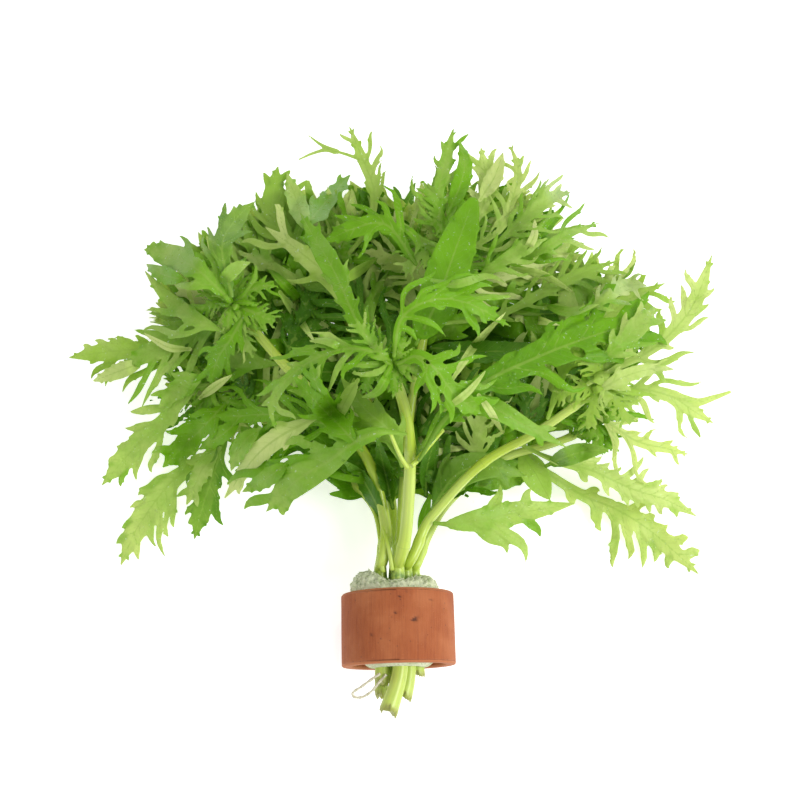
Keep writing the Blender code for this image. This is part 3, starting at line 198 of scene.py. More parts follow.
# Each leaf: its midrib (right, up), the ends of its lobes or the count of evenly set lobes on each side,
# the half width of its blade and of its lobes. A broad leaf has one whole blade, with blunt for the roundness
# of its ends; a sparse one gets no lobes but its own; a turned one shows its underside. lean is the angle of
# its lobes to the midrib, holes are right, up, half length, half width and angle in degrees.
# shade darkens or pales a leaf: partly its own tone, partly painted light at the rim and painted shade deep
# inside.
LEAVES = [
    dict(name="leaf_ground_left", tone="deep", lobes=4, reach=11, blade=1.6, lobe=1.9,
         way=[(-14, -12), (-28, 0), (-40, 12), (-52, 25)]),
    dict(name="leaf_ground_right", tone="deep", shade=0.3, lobes=4, reach=11, blade=1.6, lobe=1.9,
         way=[(16, -14), (30, -2), (42, 8), (55, 19)]),
    dict(name="leaf_ground_top", tone="deep", shade=0.2, lobes=4, reach=10, blade=1.6, lobe=1.9,
         way=[(-6, 16), (-4, 30), (0, 43), (4, 55)]),
    dict(name="leaf_ground_top_right", tone="deep", shade=0.3, lobes=4, reach=10, blade=1.6, lobe=1.9,
         way=[(8, 14), (19, 24), (30, 33), (40, 43)]),
    dict(name="leaf_lower_left", tone="bright", shade=0.75, blade=2.3, lobe=1.85,
         way=[(-40, -6.5), (-50, -15.7), (-57.2, -20.5), (-65.5, -31.7), (-70, -41.7)],
         tips=[(-65.2, -22), (-67.7, -27), (-69.6, -32), (-71, -36), (-65.2, -40.2), (-61.2, -36.7),
               (-58.7, -39.2), (-56.5, -32.2)]),
    dict(name="leaf_lower_right", tone="bright", shade=1.0, blade=1.9, lobe=2.2, lean=0.8, tooth=1.2,
         way=[(30.5, -11), (36, -17.5), (45.2, -23.6), (54.4, -27.5), (63.6, -33.5), (75.2, -44)],
         tips=[(75, -38), (72.1, -34.3), (67, -31), (61.5, -26.5), (67.3, -42.3), (63.4, -40.8),
               (60.5, -42.2), (57, -40), (53.2, -42.2), (50.5, -33)]),
    dict(name="leaf_left_hanging", tone="deep", shade=0.7, blade=1.9, lobe=1.9,
         way=[(-42.5, -5), (-46.2, -17.2), (-49.2, -26.2), (-51.5, -35)],
         tips=[(-44, -31.5), (-54, -29), (-42.2, -23), (-53.5, -21)]),
    dict(name="leaf_left_slit", tone="bright", shade=0.6, blade=2.2, lobe=1.75,
         way=[(-47, 4.5), (-52.7, 1.7), (-60, -6.2), (-65.5, -11), (-74.7, -21.5)],
         tips=[(-67.7, -3), (-69, -7), (-71, -11.5), (-72.8, -15.8), (-69.7, -21.8), (-65.7, -20.5),
               (-62, -18.5)]),
    dict(name="leaf_right_pale", tone="pale", shade=0.8, blade=1.7, lobe=1.7, lean=0.75, tooth=1.2,
         way=[(31, -11.5), (36, -14), (41, -15.8), (48.2, -17.7), (57.4, -22), (66.6, -25), (74.6, -29.3)],
         tips=[(61, -14), (69.7, -22.9), (65.5, -19.5), (55.5, -16.5), (50.5, -14), (52.5, -24.3),
               (69.1, -29.6), (62.5, -28.5), (57, -27)]),
    dict(name="leaf_right_lacy", tone="bright", shade=1.2, blade=1.0, lobe=1.0, lean=0.8,
         way=[(47, -3), (52, -5.5), (59, -10.2), (67, -12.2), (72.5, -13.7)],
         tips=[(64.2, -7.4), (60, -4.5), (57, -21.5), (63, -21.5), (54, -12.5), (70, -16.5)]),
    dict(name="leaf_right_tip", tone="bright", shade=0.9, blade=1.4, lobe=1.4,
         way=[(50, -2), (58.7, 2.5), (67.5, 1), (73, -2.5), (78.7, -6)],
         tips=[(76, 4.8), (72, -9.7), (75.2, -9.7), (67, 7), (64, -6)],
         branches=[([(69, 0.6), (74, -0.6), (78.5, 0.6), (82.5, 2)], 1.4)]),
    dict(name="leaf_far_left", tone="pale", shade=0.3, blade=1.8, lobe=1.75,
         way=[(-49, 6), (-58, 11.5), (-66, 12.5), (-73.7, 12), (-83.2, 10.5)],
         tips=[(-76.5, 14.8), (-70.7, 16.2), (-77.2, 5), (-73.7, 3.2), (-69.5, 1.5), (-63, 17)]),
    dict(name="leaf_left_green", tone="bright", shade=0.3, blade=1.9, lobe=1.8,
         way=[(-41, 20), (-52.5, 16.5), (-61.2, 12.5), (-70, 8.5)],
         tips=[(-68.5, -1.5), (-64.7, -2), (-60.7, 3.5), (-55, 5), (-66.5, 17.5), (-60, 20)]),
    dict(name="leaf_top_antenna", tone="pale", shade=0.3, blade=1.0, lobe=1.0,
         way=[(-15, 34), (-8, 43), (-6.5, 52), (-9.5, 60.5), (-13, 69.2)],
         tips=[(-15.2, 66.7), (-6.7, 67.7), (-5.2, 64), (-3.5, 57.5)],
         branches=[([(-9.5, 60), (-14, 61.6), (-18.2, 62.5), (-22, 61.6), (-25.5, 60)], 0.75),
                   ([(-16.5, 62.2), (-20, 64), (-22.9, 66.2)], 0.6)]),
    dict(name="leaf_top_left_fold", tone="deep", shade=0.9, blade=2.1, lobe=1.8,
         way=[(-19, 32), (-28.7, 41.2), (-31.7, 46.5), (-31.5, 52.5), (-30.5, 58.7)],
         tips=[(-34.2, 57), (-36, 52.5), (-27.3, 57.5), (-23, 55.2), (-20.2, 51), (-38.5, 47.5)]),
    dict(name="leaf_back_middle", tone="deep", lobes=4, reach=9, blade=1.6, lobe=1.8,
         way=[(2, 2), (-6, 14), (-13, 24), (-21, 36)]),
    dict(name="leaf_upper_left_outer", tone="bright", shade=0.4, blade=2.4, lobe=1.9,
         way=[(-43, 25.5), (-51.2, 33), (-57.5, 36), (-64.2, 37.7)],
         tips=[(-55.5, 41.2), (-60, 40.2), (-49, 41.5), (-61.5, 31.5), (-56.5, 28.5)]),
    dict(name="leaf_left_folded", broad=True, tone="bright", slot="pale", shade=0.5, blade=1.7, lobe=1.2,
         way=[(-44, 17), (-51.5, 20.5), (-58.7, 26.2), (-64, 32.5)],
         tips=[(-62, 22.5), (-64.7, 17), (-58.5, 15.5)]),
    dict(name="leaf_upper_left_curled", tone="deep", shade=0.6, blade=1.9, lobe=1.4,
         way=[(-42, 26), (-44.5, 38.2), (-41, 45.2), (-36.2, 49.7)],
         tips=[(-43.7, 49.7), (-48.5, 44), (-36.5, 42), (-38.5, 36)]),
    dict(name="leaf_top_spike", tone="bright", shade=0.45, blade=1.2, lobe=1.3,
         way=[(11, 37), (9.5, 50), (11.5, 60), (13.5, 68.5)],
         tips=[(8.7, 61.5), (3.2, 56.5), (17.5, 66.7), (16.5, 58.5), (4, 50)]),
    dict(name="leaf_top_pale", tone="pale", shade=0.6, blade=1.3, lobe=1.2,
         way=[(13, 38), (19.7, 46.2), (21.5, 54), (20.2, 63.5)],
         tips=[(15.5, 62.5), (17.5, 59), (26.2, 60.2), (24.5, 63), (16, 54.5), (27, 53)]),
    dict(name="leaf_top_right_lacy", tone="bright", shade=0.9, blade=0.8, lobe=0.95, tooth=1.3,
         way=[(13, 36), (24.5, 42), (28, 50), (29.5, 57.5), (27, 65)],
         tips=[(33.2, 60.5), (35, 57.5), (37.9, 53.9), (40, 50.5), (38.5, 46), (23.7, 60.5), (22.4, 56),
               (22.2, 51.5), (20.5, 47.5)]),
    dict(name="leaf_upper_right_comb", tone="bright", shade=0.5, blade=0.95, lobe=1.05, tooth=1.3,
         way=[(13, 34), (24, 34), (35, 37.5), (42, 41.5), (50.5, 44.5)],
         tips=[(42.5, 52.5), (46.5, 50.2), (38, 50.5), (33, 47), (52.5, 40.2), (49.5, 37.5), (44, 34),
               (39, 31.5), (27.5, 42)]),
    dict(name="leaf_upper_right_pinnate", tone="bright", shade=0.3, blade=1.1, lobe=1.15,
         way=[(8, 22), (15.2, 26), (22.5, 32.5), (31.2, 39.2), (34, 46)],
         tips=[(38, 40.5), (33.5, 32.5), (28, 27), (24.5, 42), (17, 37)]),
    dict(name="leaf_right_needles", tone="deep", shade=1.3, blade=1.1, lobe=1.05,
         way=[(10, 19), (24, 21), (36, 27), (46, 32), (55, 35)],
         tips=[(57.5, 31.2), (50.5, 38.5), (52, 27), (45, 39), (43, 22.5), (36, 34.5)]),
    dict(name="leaf_right_outer", tone="pale", shade=0.1, blade=1.5, lobe=1.3,
         way=[(37, -4.5), (41, 7), (47, 17), (57, 25), (67, 29.5)],
         tips=[(62.5, 33), (69.5, 25), (64, 20.5), (59, 14.5), (51, 28.5), (42, 23), (36, 15)]),
    dict(name="leaf_left_fingers", tone="bright", shade=-0.1, blade=1.4, lobe=1.5,
         way=[(-12, -8), (-22.5, -5), (-32.5, -3.7), (-40, -4), (-49, -4.5)],
         tips=[(-47.5, -10), (-43, -14), (-36.5, -16), (-29.5, -15), (-44, 3), (-37, 5), (-30, 6.5)]),
    dict(name="leaf_left_drooping", tone="bright", shade=-0.3, blade=1.7, lobe=1.5,
         way=[(-39, 21), (-42.5, 15), (-45.5, 10.5), (-47.5, 4)],
         tips=[(-39.5, 11.5), (-41.5, 4.5), (-50.5, 10.5), (-52, 4)]),
    dict(name="leaf_cream", broad=True, tone="pale", turned=True, shade=1.0, lobes=2, reach=3.6, blade=2.3,
         lobe=1.4, way=[(-20, -4), (-29, -8.5), (-36, -14), (-44.2, -25)]),
    dict(name="leaf_dark_broad", broad=True, tone="deep", shade=0.3, lobes=2, reach=6.5, blade=3.6,
         lobe=1.8, way=[(7.5, -28), (13.7, -19), (21.5, -16.5), (31.5, -19)]),
    dict(name="leaf_underside_up", broad=True, tone="pale", shade=0.5, blade=2.4, lobe=1.5,
         way=[(-10, 18), (-16, 29), (-25, 37), (-34, 43.5)],
         tips=[(-40, 39.2), (-29, 30.5), (-21, 42.5), (-32, 50)]),
    dict(name="leaf_top_inner", tone="bright", shade=-0.15, blade=1.8, lobe=1.4,
         way=[(4, 34), (-3.2, 43.7), (-11.2, 43), (-20, 39)],
         tips=[(-17, 46.2), (-13.2, 49), (-7, 54.5), (-1.5, 52.5), (-11, 35)]),
    dict(name="leaf_by_stem", broad=True, tone="bright", shade=0.75, blade=2.8, lobe=2.4, lean=0.95,
         way=[(8.6, -30.8), (13, -31), (20, -30), (29, -28.2), (36, -27.2), (43.9, -25.8)],
         tips=[(31.5, -40.8), (26.8, -38.6), (35, -34.5), (25, -21), (33, -22)]),
    dict(name="leaf_far_right_upturned", tone="pale", shade=0.6, blade=1.5, lobe=1.4,
         way=[(47, 4), (54, 8), (62, 12), (68, 17), (73.7, 24.5), (78.2, 36.7)],
         tips=[(78.7, 28.2), (77.5, 20.5), (74, 11.7), (71.7, 33), (68, 26.5), (63, 21)]),
    dict(name="leaf_right_band", broad=True, tone="bright", shade=0.2, lobes=2, reach=4.5, blade=2.4,
         lobe=1.5, way=[(5, -12), (13, -2.5), (21.7, -1.5), (31.5, -6.5), (42, -12)]),
    dict(name="leaf_left_inner", broad=True, tone="pale", turned=True, shade=-0.9, lobes=3, reach=6,
         blade=2.4, lobe=1.6, way=[(0.5, -16.5), (-2.5, -8), (-9, -2), (-15, 6)]),
    dict(name="leaf_long_bright", tone="bright", lobes=3, reach=4.6, blade=2.0, lobe=1.2,
         way=[(-4, 9), (-10.7, 19.5), (-15.7, 30.7), (-20.5, 39.2), (-25.2, 47.2)]),
    dict(name="leaf_broad_entire", broad=True, tone="bright", shade=-0.5, lobes=0, reach=0, blade=5.0,
         lobe=0.5, blunt=0.5, way=[(4, 14), (9, 24), (12.6, 34), (16, 43.5), (18.6, 50.5)]),
    dict(name="leaf_great_right", tone="bright", shade=-0.6, blade=3.3, lobe=2.4, vein=0.7, sparse=True,
         way=[(4.8, -15), (10.7, -5.5), (20.5, 4), (35, 11), (48.7, 16.2), (63.5, 20.7)],
         tips=[(57, 31.5), (62.5, 27.5), (48.5, 26.8), (40, 19.5), (29, 12.5), (67, 13.5), (58, 8),
               (47, 3.5), (36, 1)],
         holes=[(44.5, 12, 2.0, 1.2, -25), (51, 13.4, 2.3, 0.9, -15), (58, 16.4, 2.4, 0.8, 5),
                (37.5, 8.3, 1.5, 0.5, -20), (49, 8.6, 1.6, 0.5, -25)]),
    dict(name="leaf_great_drooping", tone="bright", shade=0.15, blade=3.0, lobe=2.8, vein=0.8, sparse=True,
         way=[(1.2, -8.5), (-5, -8), (-11.5, -10.5), (-17.5, -15), (-26, -20.2), (-33.5, -28)],
         tips=[(-43.5, -21.5), (-40, -16), (-29, -11.5), (-39, -27.5), (-23, -22), (-18, -9.5), (-29, -29)],
         holes=[(-23.5, -12.6, 1.2, 0.45, 15), (-17.5, -11.4, 1.0, 0.4, 10), (-29, -15.2, 1.2, 0.5, 25),
                (-33, -18.5, 1.1, 0.4, 35)]),
    dict(name="leaf_left_top_fingers", tone="bright", shade=0.0, blade=1.0, lobe=1.5,
         way=[(-2.2, 8.5), (-7, 12), (-14.5, 12.7), (-23.2, 9.2), (-29.2, 4), (-32.2, -2.2), (-30.7, -8.5)],
         tips=[(-18.5, 1.2), (-22, -1), (-26, -5), (-36.5, 1), (-33.5, 10.5), (-24, 16.5), (-14, 4.5)]),
    dict(name="leaf_centre_lacy", tone="bright", shade=0.1, blade=2.6, lobe=1.9,
         way=[(-0.5, 9), (4.5, 11), (9.5, 7), (14, 1), (20.5, -3.5)],
         tips=[(24.5, 5.5), (22, 11), (15, 14.5), (3.5, 0.5), (7.5, -3.5), (12.5, -6), (25, 0.5)],
         holes=[(9.4, 4.8, 1.6, 0.7, -70), (14, 5.5, 1.5, 0.8, -50), (16.6, 2.1, 1.3, 0.8, -20),
                (10.6, 0.6, 1.3, 0.6, -75), (14.4, -2.7, 1.2, 0.5, -60), (6.6, 9.6, 1.0, 0.45, -35),
                (5, 7.6, 1.1, 0.45, -60)]),
    dict(name="leaf_centre_arch", tone="bright", blade=1.5, lobe=1.5,
         way=[(-1.5, 11), (0.5, 20.5), (8, 25), (17, 24.2), (28, 18.2)],
         tips=[(4.5, 14.5), (11.5, 15.7), (19.5, 15.5), (9.5, 33), (20.5, 31), (28.5, 26)]),
]

# Slips, the slender leaves at the top and the rim: their way (right, up) and half width. rise is how far one
# stands over the bunch; level gives the heights of both ends of one that lies beneath it.
# shade works as in the leaves: pale rim slips are partly painted light, dark slips by the stems partly
# painted shade.
SLIPS = [
    dict(way=[(27.7, 33), (35, 31.5), (40, 29), (44.2, 26.2)], blade=0.72, tone="pale", shade=0.6),
    dict(way=[(31, 36.5), (33.5, 41), (33.7, 45.5)], blade=0.8, tone="pale", shade=0.9),
    dict(way=[(19.7, 1.2), (23, -3.5), (26.2, -9.2)], blade=0.64, tone="pale", shade=0.9),
    dict(way=[(29.2, 20), (34, 20), (40, 18.7)], blade=0.8, tone="pale", shade=0.9),
    dict(way=[(13, 5), (19, 14), (27, 22.5)], blade=0.72, tone="pale", shade=0.8),
    dict(way=[(-13.7, 12.5), (-18.5, 14.7), (-23.2, 14.7)], blade=0.72, tone="bright", shade=0.5),
    dict(way=[(-2.2, 8), (-5.5, 2.2), (-10, 0.5)], blade=0.96, tone="bright", shade=0.3),
    dict(way=[(-10.5, 5), (-13.5, 0), (-16.2, -6.7)], blade=1.4, tone="pale", shade=0.2, turned=True),
    dict(way=[(-52.5, 12.7), (-58, 13.2), (-64.5, 17)], blade=0.64, tone="pale", shade=0.9),
    dict(way=[(0, 43.7), (3.2, 41.5), (4.5, 38.7), (3.5, 36)], blade=0.72, tone="bright", shade=0.4),
    dict(way=[(-50, 0.5), (-46, 3.5), (-41.7, 6.5)], blade=0.8, tone="pale", shade=0.9),
    dict(way=[(-52.5, -12), (-51.5, -8.5), (-49.2, -7)], blade=0.72, tone="pale", shade=0.9),
    dict(way=[(-14.5, 29.5), (-10, 32.5), (-5.5, 35.7)], blade=1, tone="pale", shade=0.1, turned=True),
    dict(way=[(-45.2, 28.7), (-41, 33), (-37.2, 34.5)], blade=1.5, tone="bright", shade=0.4),
    dict(way=[(11, -2.5), (17, 2), (22, 8)], blade=0.64, tone="pale", shade=0.5),
    dict(way=[(8, 30), (14, 29), (22, 31), (27, 29)], blade=0.8, tone="bright", shade=0.5),
    dict(way=[(-33, 33), (-27, 27), (-21, 20)], blade=0.88, tone="bright", shade=0.2),
    dict(way=[(-30, 27), (-25, 20), (-21, 14)], blade=0.8, tone="pale", shade=0.4, turned=True),
    dict(way=[(36, 24), (42, 22), (50, 24)], blade=0.88, tone="bright", shade=0.3),
    dict(way=[(36.5, -16.5), (41, -14.4), (46, -12.9), (52.4, -12.4)], blade=2.2, tone="deep", shade=0.6,
         rise=1.2),
    dict(way=[(-9.5, -12.5), (-15, -6.5), (-21, -0.5), (-27, 6.5)], blade=2.2, tone="bright", shade=0.0,
         lobes=3, reach=5.0, lobe=1.3, tooth=0.7, rise=1.4),
    dict(way=[(-15, -6.5), (-20.5, 3), (-22.5, 10)], blade=1.5, tone="bright", shade=-0.2, lobes=2,
         reach=4.5, lobe=1.2, tooth=0.7, rise=1.0),
    dict(way=[(-1.8, -27), (-3.8, -18), (-5.8, -9)], blade=1.7, tone="deep", shade=-0.5, rise=0.6,
         tooth=0.5),
    dict(way=[(-4, -31), (-6.5, -25), (-10, -19), (-15, -14.5)], blade=1.6, tone="deep", shade=0.0,
         rise=0.8, tooth=0.6),
    dict(way=[(6.5, -24), (6.8, -17), (9, -9)], blade=1.5, tone="deep", shade=-0.5, rise=0.3),
    dict(way=[(5.2, -35), (6.1, -29), (7.7, -23)], blade=1.1, tone="bright", shade=-0.1,
         level=(13, 15)),
    dict(way=[(13, -15), (19, -17), (26, -18.2), (33, -18)], blade=4.3, tone="deep", shade=0.7,
         level=(11, 5), tooth=0.8, blunt=0.6),
    dict(way=[(30, -13), (33.5, -18), (37.5, -25)], blade=3.1, tone="pale", shade=0.3, turned=True,
         level=(9, 7)),
    dict(way=[(-49, 6), (-54.5, 3.5), (-60.5, -2)], blade=2.1, tone="bright", shade=0.3, lobes=2, reach=5.0,
         lobe=1.6, tooth=0.8),
    dict(way=[(-43, 0), (-48, -5.5), (-53, -10.5), (-59.5, -17)], blade=2.2, tone="bright", shade=0.2,
         lobes=3, reach=6.0, lobe=1.7, tooth=0.8, broad=False, sparse=True),
    dict(way=[(-45, -12), (-49.5, -17.5), (-53.5, -26.5)], blade=1.8, tone="bright", shade=0.5, lobes=2,
         reach=4.5, lobe=1.5, tooth=0.8),
    dict(way=[(-28, -15.5), (-33.5, -19.7), (-39.5, -23)], blade=1.9, tone="bright", shade=0.4, tooth=0.8),
    dict(way=[(50, 9), (57.5, 16.5), (64, 23)], blade=2.0, tone="bright", shade=0.5, lobes=3, reach=6.0,
         lobe=1.4, tooth=0.8, broad=False, sparse=True),
    dict(way=[(49, 2), (56.5, 6), (64, 8), (69, 7.5)], blade=1.5, tone="pale", shade=0.5, lobes=2,
         reach=4.5, lobe=1.2, tooth=0.6),
    dict(way=[(24, 39), (32, 46), (37.5, 50.5), (43, 52)], blade=1.3, tone="bright", shade=0.5, lobes=4,
         reach=7.0, lobe=1.0, tooth=0.8, broad=False),
    dict(way=[(46, 21), (52, 26), (57, 28.8), (62, 28.5)], blade=1.3, tone="bright", shade=0.6, lobes=3,
         reach=5.0, lobe=1.0, broad=False),
    dict(way=[(12, 47), (14.8, 53), (16.2, 59), (14.8, 65)], blade=1.9, tone="bright", shade=0.0,
         tooth=0.7),
    dict(way=[(20, 50), (23.7, 56), (25.8, 62)], blade=1.8, tone="pale", shade=0.9, tooth=0.6),
    dict(way=[(-24, 43), (-19, 49), (-12.3, 56.5)], blade=1.9, tone="bright", shade=0.1, lobes=2, reach=4.0,
         lobe=1.4, tooth=0.9),
    dict(way=[(-23, 42), (-26, 50), (-28.3, 56.8)], blade=2.1, tone="bright", shade=0.5, tooth=0.9),
    dict(way=[(-35, -7), (-39.5, -11), (-42.3, -17.8)], blade=1.9, tone="bright", shade=0.3, tooth=0.8),
    dict(way=[(-40, -5), (-45, -9), (-50.5, -12.5)], blade=1.7, tone="bright", shade=0.2, tooth=0.8),
    dict(way=[(-64, 9.5), (-70, 7.3), (-77, 4.6)], blade=1.7, tone="pale", shade=0.8, tooth=0.8),
    dict(way=[(-54, 30), (-59, 31.3), (-63.5, 34)], blade=1.7, tone="bright", shade=0.3, tooth=0.8),
]

# Bare petioles: their way (right, up) and radius
PETIOLES = [
    dict(way=[(2.8, -16.5), (4.5, -14.8), (7.2, -11.5), (10.7, -7.5)], radius=0.6),
    dict(way=[(1.8, -16.8), (0.6, -15), (-0.9, -12), (-2.5, -8)], radius=0.5),
    dict(way=[(-2, -42.5), (-2.6, -38), (-4, -32.5), (-5.5, -25)], radius=0.5),
    dict(way=[(-4.3, -43), (-4.8, -36), (-6, -29), (-9, -22)], radius=0.55),
]

TONES = ("bright", "deep", "pale")

# Forms of the leaves inside the bunch, as shares of their length, and how common each is
FORMS = (dict(blade=0.045, lobe=0.05, reach=0.34, lobes=4), dict(blade=0.035, lobe=0.05, reach=0.5,
                                                                 lobes=3),
         dict(blade=0.08, lobe=0.04, reach=0.0, lobes=0, broad=True),
         dict(blade=0.055, lobe=0.05, reach=0.2, lobes=2, broad=True))
FORM_SHARES = (0.34, 0.16, 0.28, 0.22)
FILLER = dict(blade=0.1, lobe=0.05, reach=0.16, lobes=2, broad=True)
FILLER_SEED = 29
FILLER_RISE = 0.8
FILLER_LENGTH = 18.0
FILLER_PAST = (9.0, 5.0, 1.5)
MOST_FILLERS = 120

# How common each tone is inside the bunch and at its rim, its shade, and the share that lies underside up
# The rim gets fewer deep tones, partly as painted light shining through its thin leaves.
INNER_TONES = (0.5, 0.38, 0.12)
RIM_TONES = (0.74, 0.1, 0.16)
RIM_REACH = 9.0
INNER_SHADES = (-0.1, -0.35, 0.6)
TURNED_SHARE = 0.08

# Leaves at the joints: spacing of the joints, directions off the stem (radians), lengths
JOINT_STEP = 12.5
JOINT_SEED = 5
JOINT_TURNS = (1.3, -1.3, 0.9, -0.9, 0.5, -0.5, 0.1)
INNER_LENGTHS = (20, 34)
SHORTEST = 9
INNER_COARSER = 2.0

# How many at the head of each table lie beneath the inner leaves
HIDDEN_STEMS, HIDDEN_TUFTS, HIDDEN_LEAVES = 4, 3, 4

# Room between layers of leaves, and how the ceiling over them runs, in mm
LAYER = 0.7
CEILING_ROOM = 0.9
CEILING_SLOPE = 1.1
LOWEST_LEAF = 0.4
OPEN_SKY = 90.0

# Bare places are filled until each cell has this many leaves and no gap holds more cells than this
LEAST_LAYERS = 3
SMALLEST_GAP = 4

# Slips: what they have unless they say otherwise, how deep they start in the bunch and rise over it
SLIP_DEFAULTS = dict(lobes=0, reach=0, lobe=0.5, tooth=0.0, broad=True, vein=0.3, ruffle=0.2)
SLIP_ROOT = 3.0
SLIP_RISE = 0.7

# Where the inside of the bunch is dense: a closed line on the plan that hidden leaves stay within
DENSE = np.array([(-60, 30), (-57, 37), (-46, 44), (-36, 50), (-28, 54), (-18, 52), (-8, 56), (-3, 51),
                  (3, 51), (8, 56), (25, 56), (34, 52), (42, 43.5), (47, 37), (54, 31), (60, 26.5),
                  (62, 16), (52, 4), (36, -4), (27, -14), (12, -19), (4, -22), (-5, -18), (-12, -9),
                  (-20, -7), (-34, -5), (-46, -3), (-57, 1), (-61, 12)], float)


# Plan and space


def in_space(right, up, height):
    """Carry points of the plan at their heights into space, in metres, along the lines of sight."""
    right, up, height = np.broadcast_arrays(right, up, height)
    lean, level = math.sin(EYE_TILT), math.cos(EYE_TILT)
    share = (EYE_DISTANCE * level + AXIS_HEIGHT - height) / (EYE_DISTANCE * level - up * lean)
    x = share * right - FOOTPRINT_MIDDLE[0]
    y = share * (EYE_DISTANCE * lean + up * level) - EYE_DISTANCE * lean - FOOTPRINT_MIDDLE[1]
    return np.stack([x, y, height], axis=-1) * MM


def on_plan(points):
    """Give right, up and height of points in space (metres) on the plan."""
    lean, level = math.sin(EYE_TILT), math.cos(EYE_TILT)
    points = np.asarray(points, float) / MM
    x = points[..., 0] + FOOTPRINT_MIDDLE[0]
    y = points[..., 1] + FOOTPRINT_MIDDLE[1] + EYE_DISTANCE * lean
    z = points[..., 2] - AXIS_HEIGHT - EYE_DISTANCE * level
    depth = y * lean - z * level
    right = EYE_DISTANCE * x / depth
    up = EYE_DISTANCE * (y * level + z * lean) / depth
    return right, up, points[..., 2]


def ring_frame(right, along, above):
    """Points of the ring's own frame (right of its axis, along it, above it, in mm) in space, in metres."""
    right, along, above = np.broadcast_arrays(right, along, above)
    middle = in_space(RING_MIDDLE[0], RING_MIDDLE[1], AXIS_HEIGHT)
    x = right * math.cos(RING_TURN) - along * math.sin(RING_TURN)
    y = right * math.sin(RING_TURN) + along * math.cos(RING_TURN)
    return middle + np.stack([x, y, above], axis=-1) * MM


def smooth_way(points, steps=12):
    """Run one smooth curve through the points and return it as a dense array."""
    knots = np.array(points, float)
    knots = np.vstack([2 * knots[0] - knots[1], knots, 2 * knots[-1] - knots[-2]])
    rows = []
    for a, b, c, d in zip(knots, knots[1:], knots[2:], knots[3:]):
        for t in np.linspace(0, 1, steps, endpoint=False):
            rows.append(0.5 * (2 * b + (c - a) * t + (2 * a - 5 * b + 4 * c - d) * t * t
                               + (3 * b - a - 3 * c + d) * t ** 3))
    rows.append(knots[-2])
    return np.array(rows)


def run_along(line):
    """How far along a line each of its points lies."""
    return np.concatenate([[0.0], np.cumsum(np.linalg.norm(np.diff(line, axis=0), axis=1))])


def read_line(spots, run, line):
    """Points of a line at the given places of its run."""
    return np.stack([np.interp(spots, run, line[:, axis]) for axis in range(line.shape[1])], axis=-1)


def soften(rows, turns):
    """Smooth a row of numbers or points between its fixed ends."""
    for _ in range(turns):
        rows[1:-1] = 0.25 * rows[:-2] + 0.5 * rows[1:-1] + 0.25 * rows[2:]


def around_axis(sides):
    """Evenly spaced angles once round."""
    return 2 * np.pi * np.arange(sides) / sides


def seed_of(name):
    """A number that a name always gives."""
    return sum((place + 1) * ord(letter) for place, letter in enumerate(name))


def piece_name(node, ending=None):
    """Turn a node's name round: leaf_by_stem gives by_stem_leaf."""
    kind, _, rest = node.partition("_")
    return f"{rest}_{ending or kind}"


def corners_of(name):
    """The points of a piece."""
    data = bpy.data.objects[name].data
    points = np.empty(len(data.vertices) * 3)
    data.vertices.foreach_get("co", points)
    return points.reshape(-1, 3)


def mesh_object(name, points, faces, smooth, values, materials):
    """Make a mesh object, with the values for its finish on its points."""
    data = bpy.data.meshes.new(name)
    data.from_pydata(points.tolist(), [], faces)
    data.polygons.foreach_set("use_smooth", smooth)
    for value, numbers in values.items():
        layer = data.attributes.new(value, "FLOAT", "POINT")
        layer.data.foreach_set("value", numbers.astype(np.float32))
    for material in materials:
        data.materials.append(material)
    data.update()
    body = bpy.data.objects.new(name, data)
    bpy.context.collection.objects.link(body)
    return body


class Lay:
    """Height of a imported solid's middle over the plan, as a thin plate pressed on its points."""

    def __init__(self, node, give=LEAF_GIVE):
        right, up, height = on_plan(corners_of(node))
        self.knots = np.stack([right, up], axis=1)
        count = len(right)
        flat = np.column_stack([np.ones(count), self.knots])
        system = np.zeros((count + 3, count + 3))
        system[:count, :count] = self.bend(self.knots) + give * np.eye(count)
        system[:count, count:] = flat
        system[count:, :count] = flat.T
        solved = np.linalg.lstsq(system, np.append(height, [0, 0, 0]), rcond=None)[0]
        self.bends, self.plane = solved[:count], solved[count:]
        self.low, self.high = height.min(), height.max()

    def bend(self, spots):
        """How the plate bends at the spots, for each of its knots."""
        gaps = (spots[:, None, :] - self.knots[None, :, :]) / 10.0
        square = (gaps ** 2).sum(axis=2)
        return 0.5 * square * np.log(square + 1e-9)

    def height(self, spots):
        """Height of the plate over the spots."""
        level = self.bend(spots) @ self.bends + self.plane[0] + spots @ self.plane[1:]
        return np.clip(level, self.low - 1.0, self.high + 1.0)


class Midrib:
    """The leaf's middle line on the plan, read by the share of its length."""

    def __init__(self, way):
        self.rows = smooth_way(way)
        self.run = run_along(self.rows)
        self.length = self.run[-1]
        self.run /= self.length

    def place(self, share):
        """The midrib's point at a share of its length, or straight on past its ends."""
        inside = min(max(share, 0.0), 1.0)
        here = read_line(inside, self.run, self.rows)
        return here + (share - inside) * self.length * self.heading(inside)

    def heading(self, share):
        """The way that the midrib runs there."""
        low, high = max(share - HEADING_REACH, 0.0), min(share + HEADING_REACH, 1.0)
        step = read_line(high, self.run, self.rows) - read_line(low, self.run, self.rows)
        return step / np.linalg.norm(step)

    def leftward(self, share):
        """The way to the midrib's left there."""
        ahead = self.heading(share)
        return np.array([-ahead[1], ahead[0]])

    def nearest(self, place):
        """The share of the midrib nearest to a place, and its distance."""
        gaps = np.linalg.norm(self.rows - place, axis=1)
        row = int(np.argmin(gaps))
        return self.run[row], gaps[row]


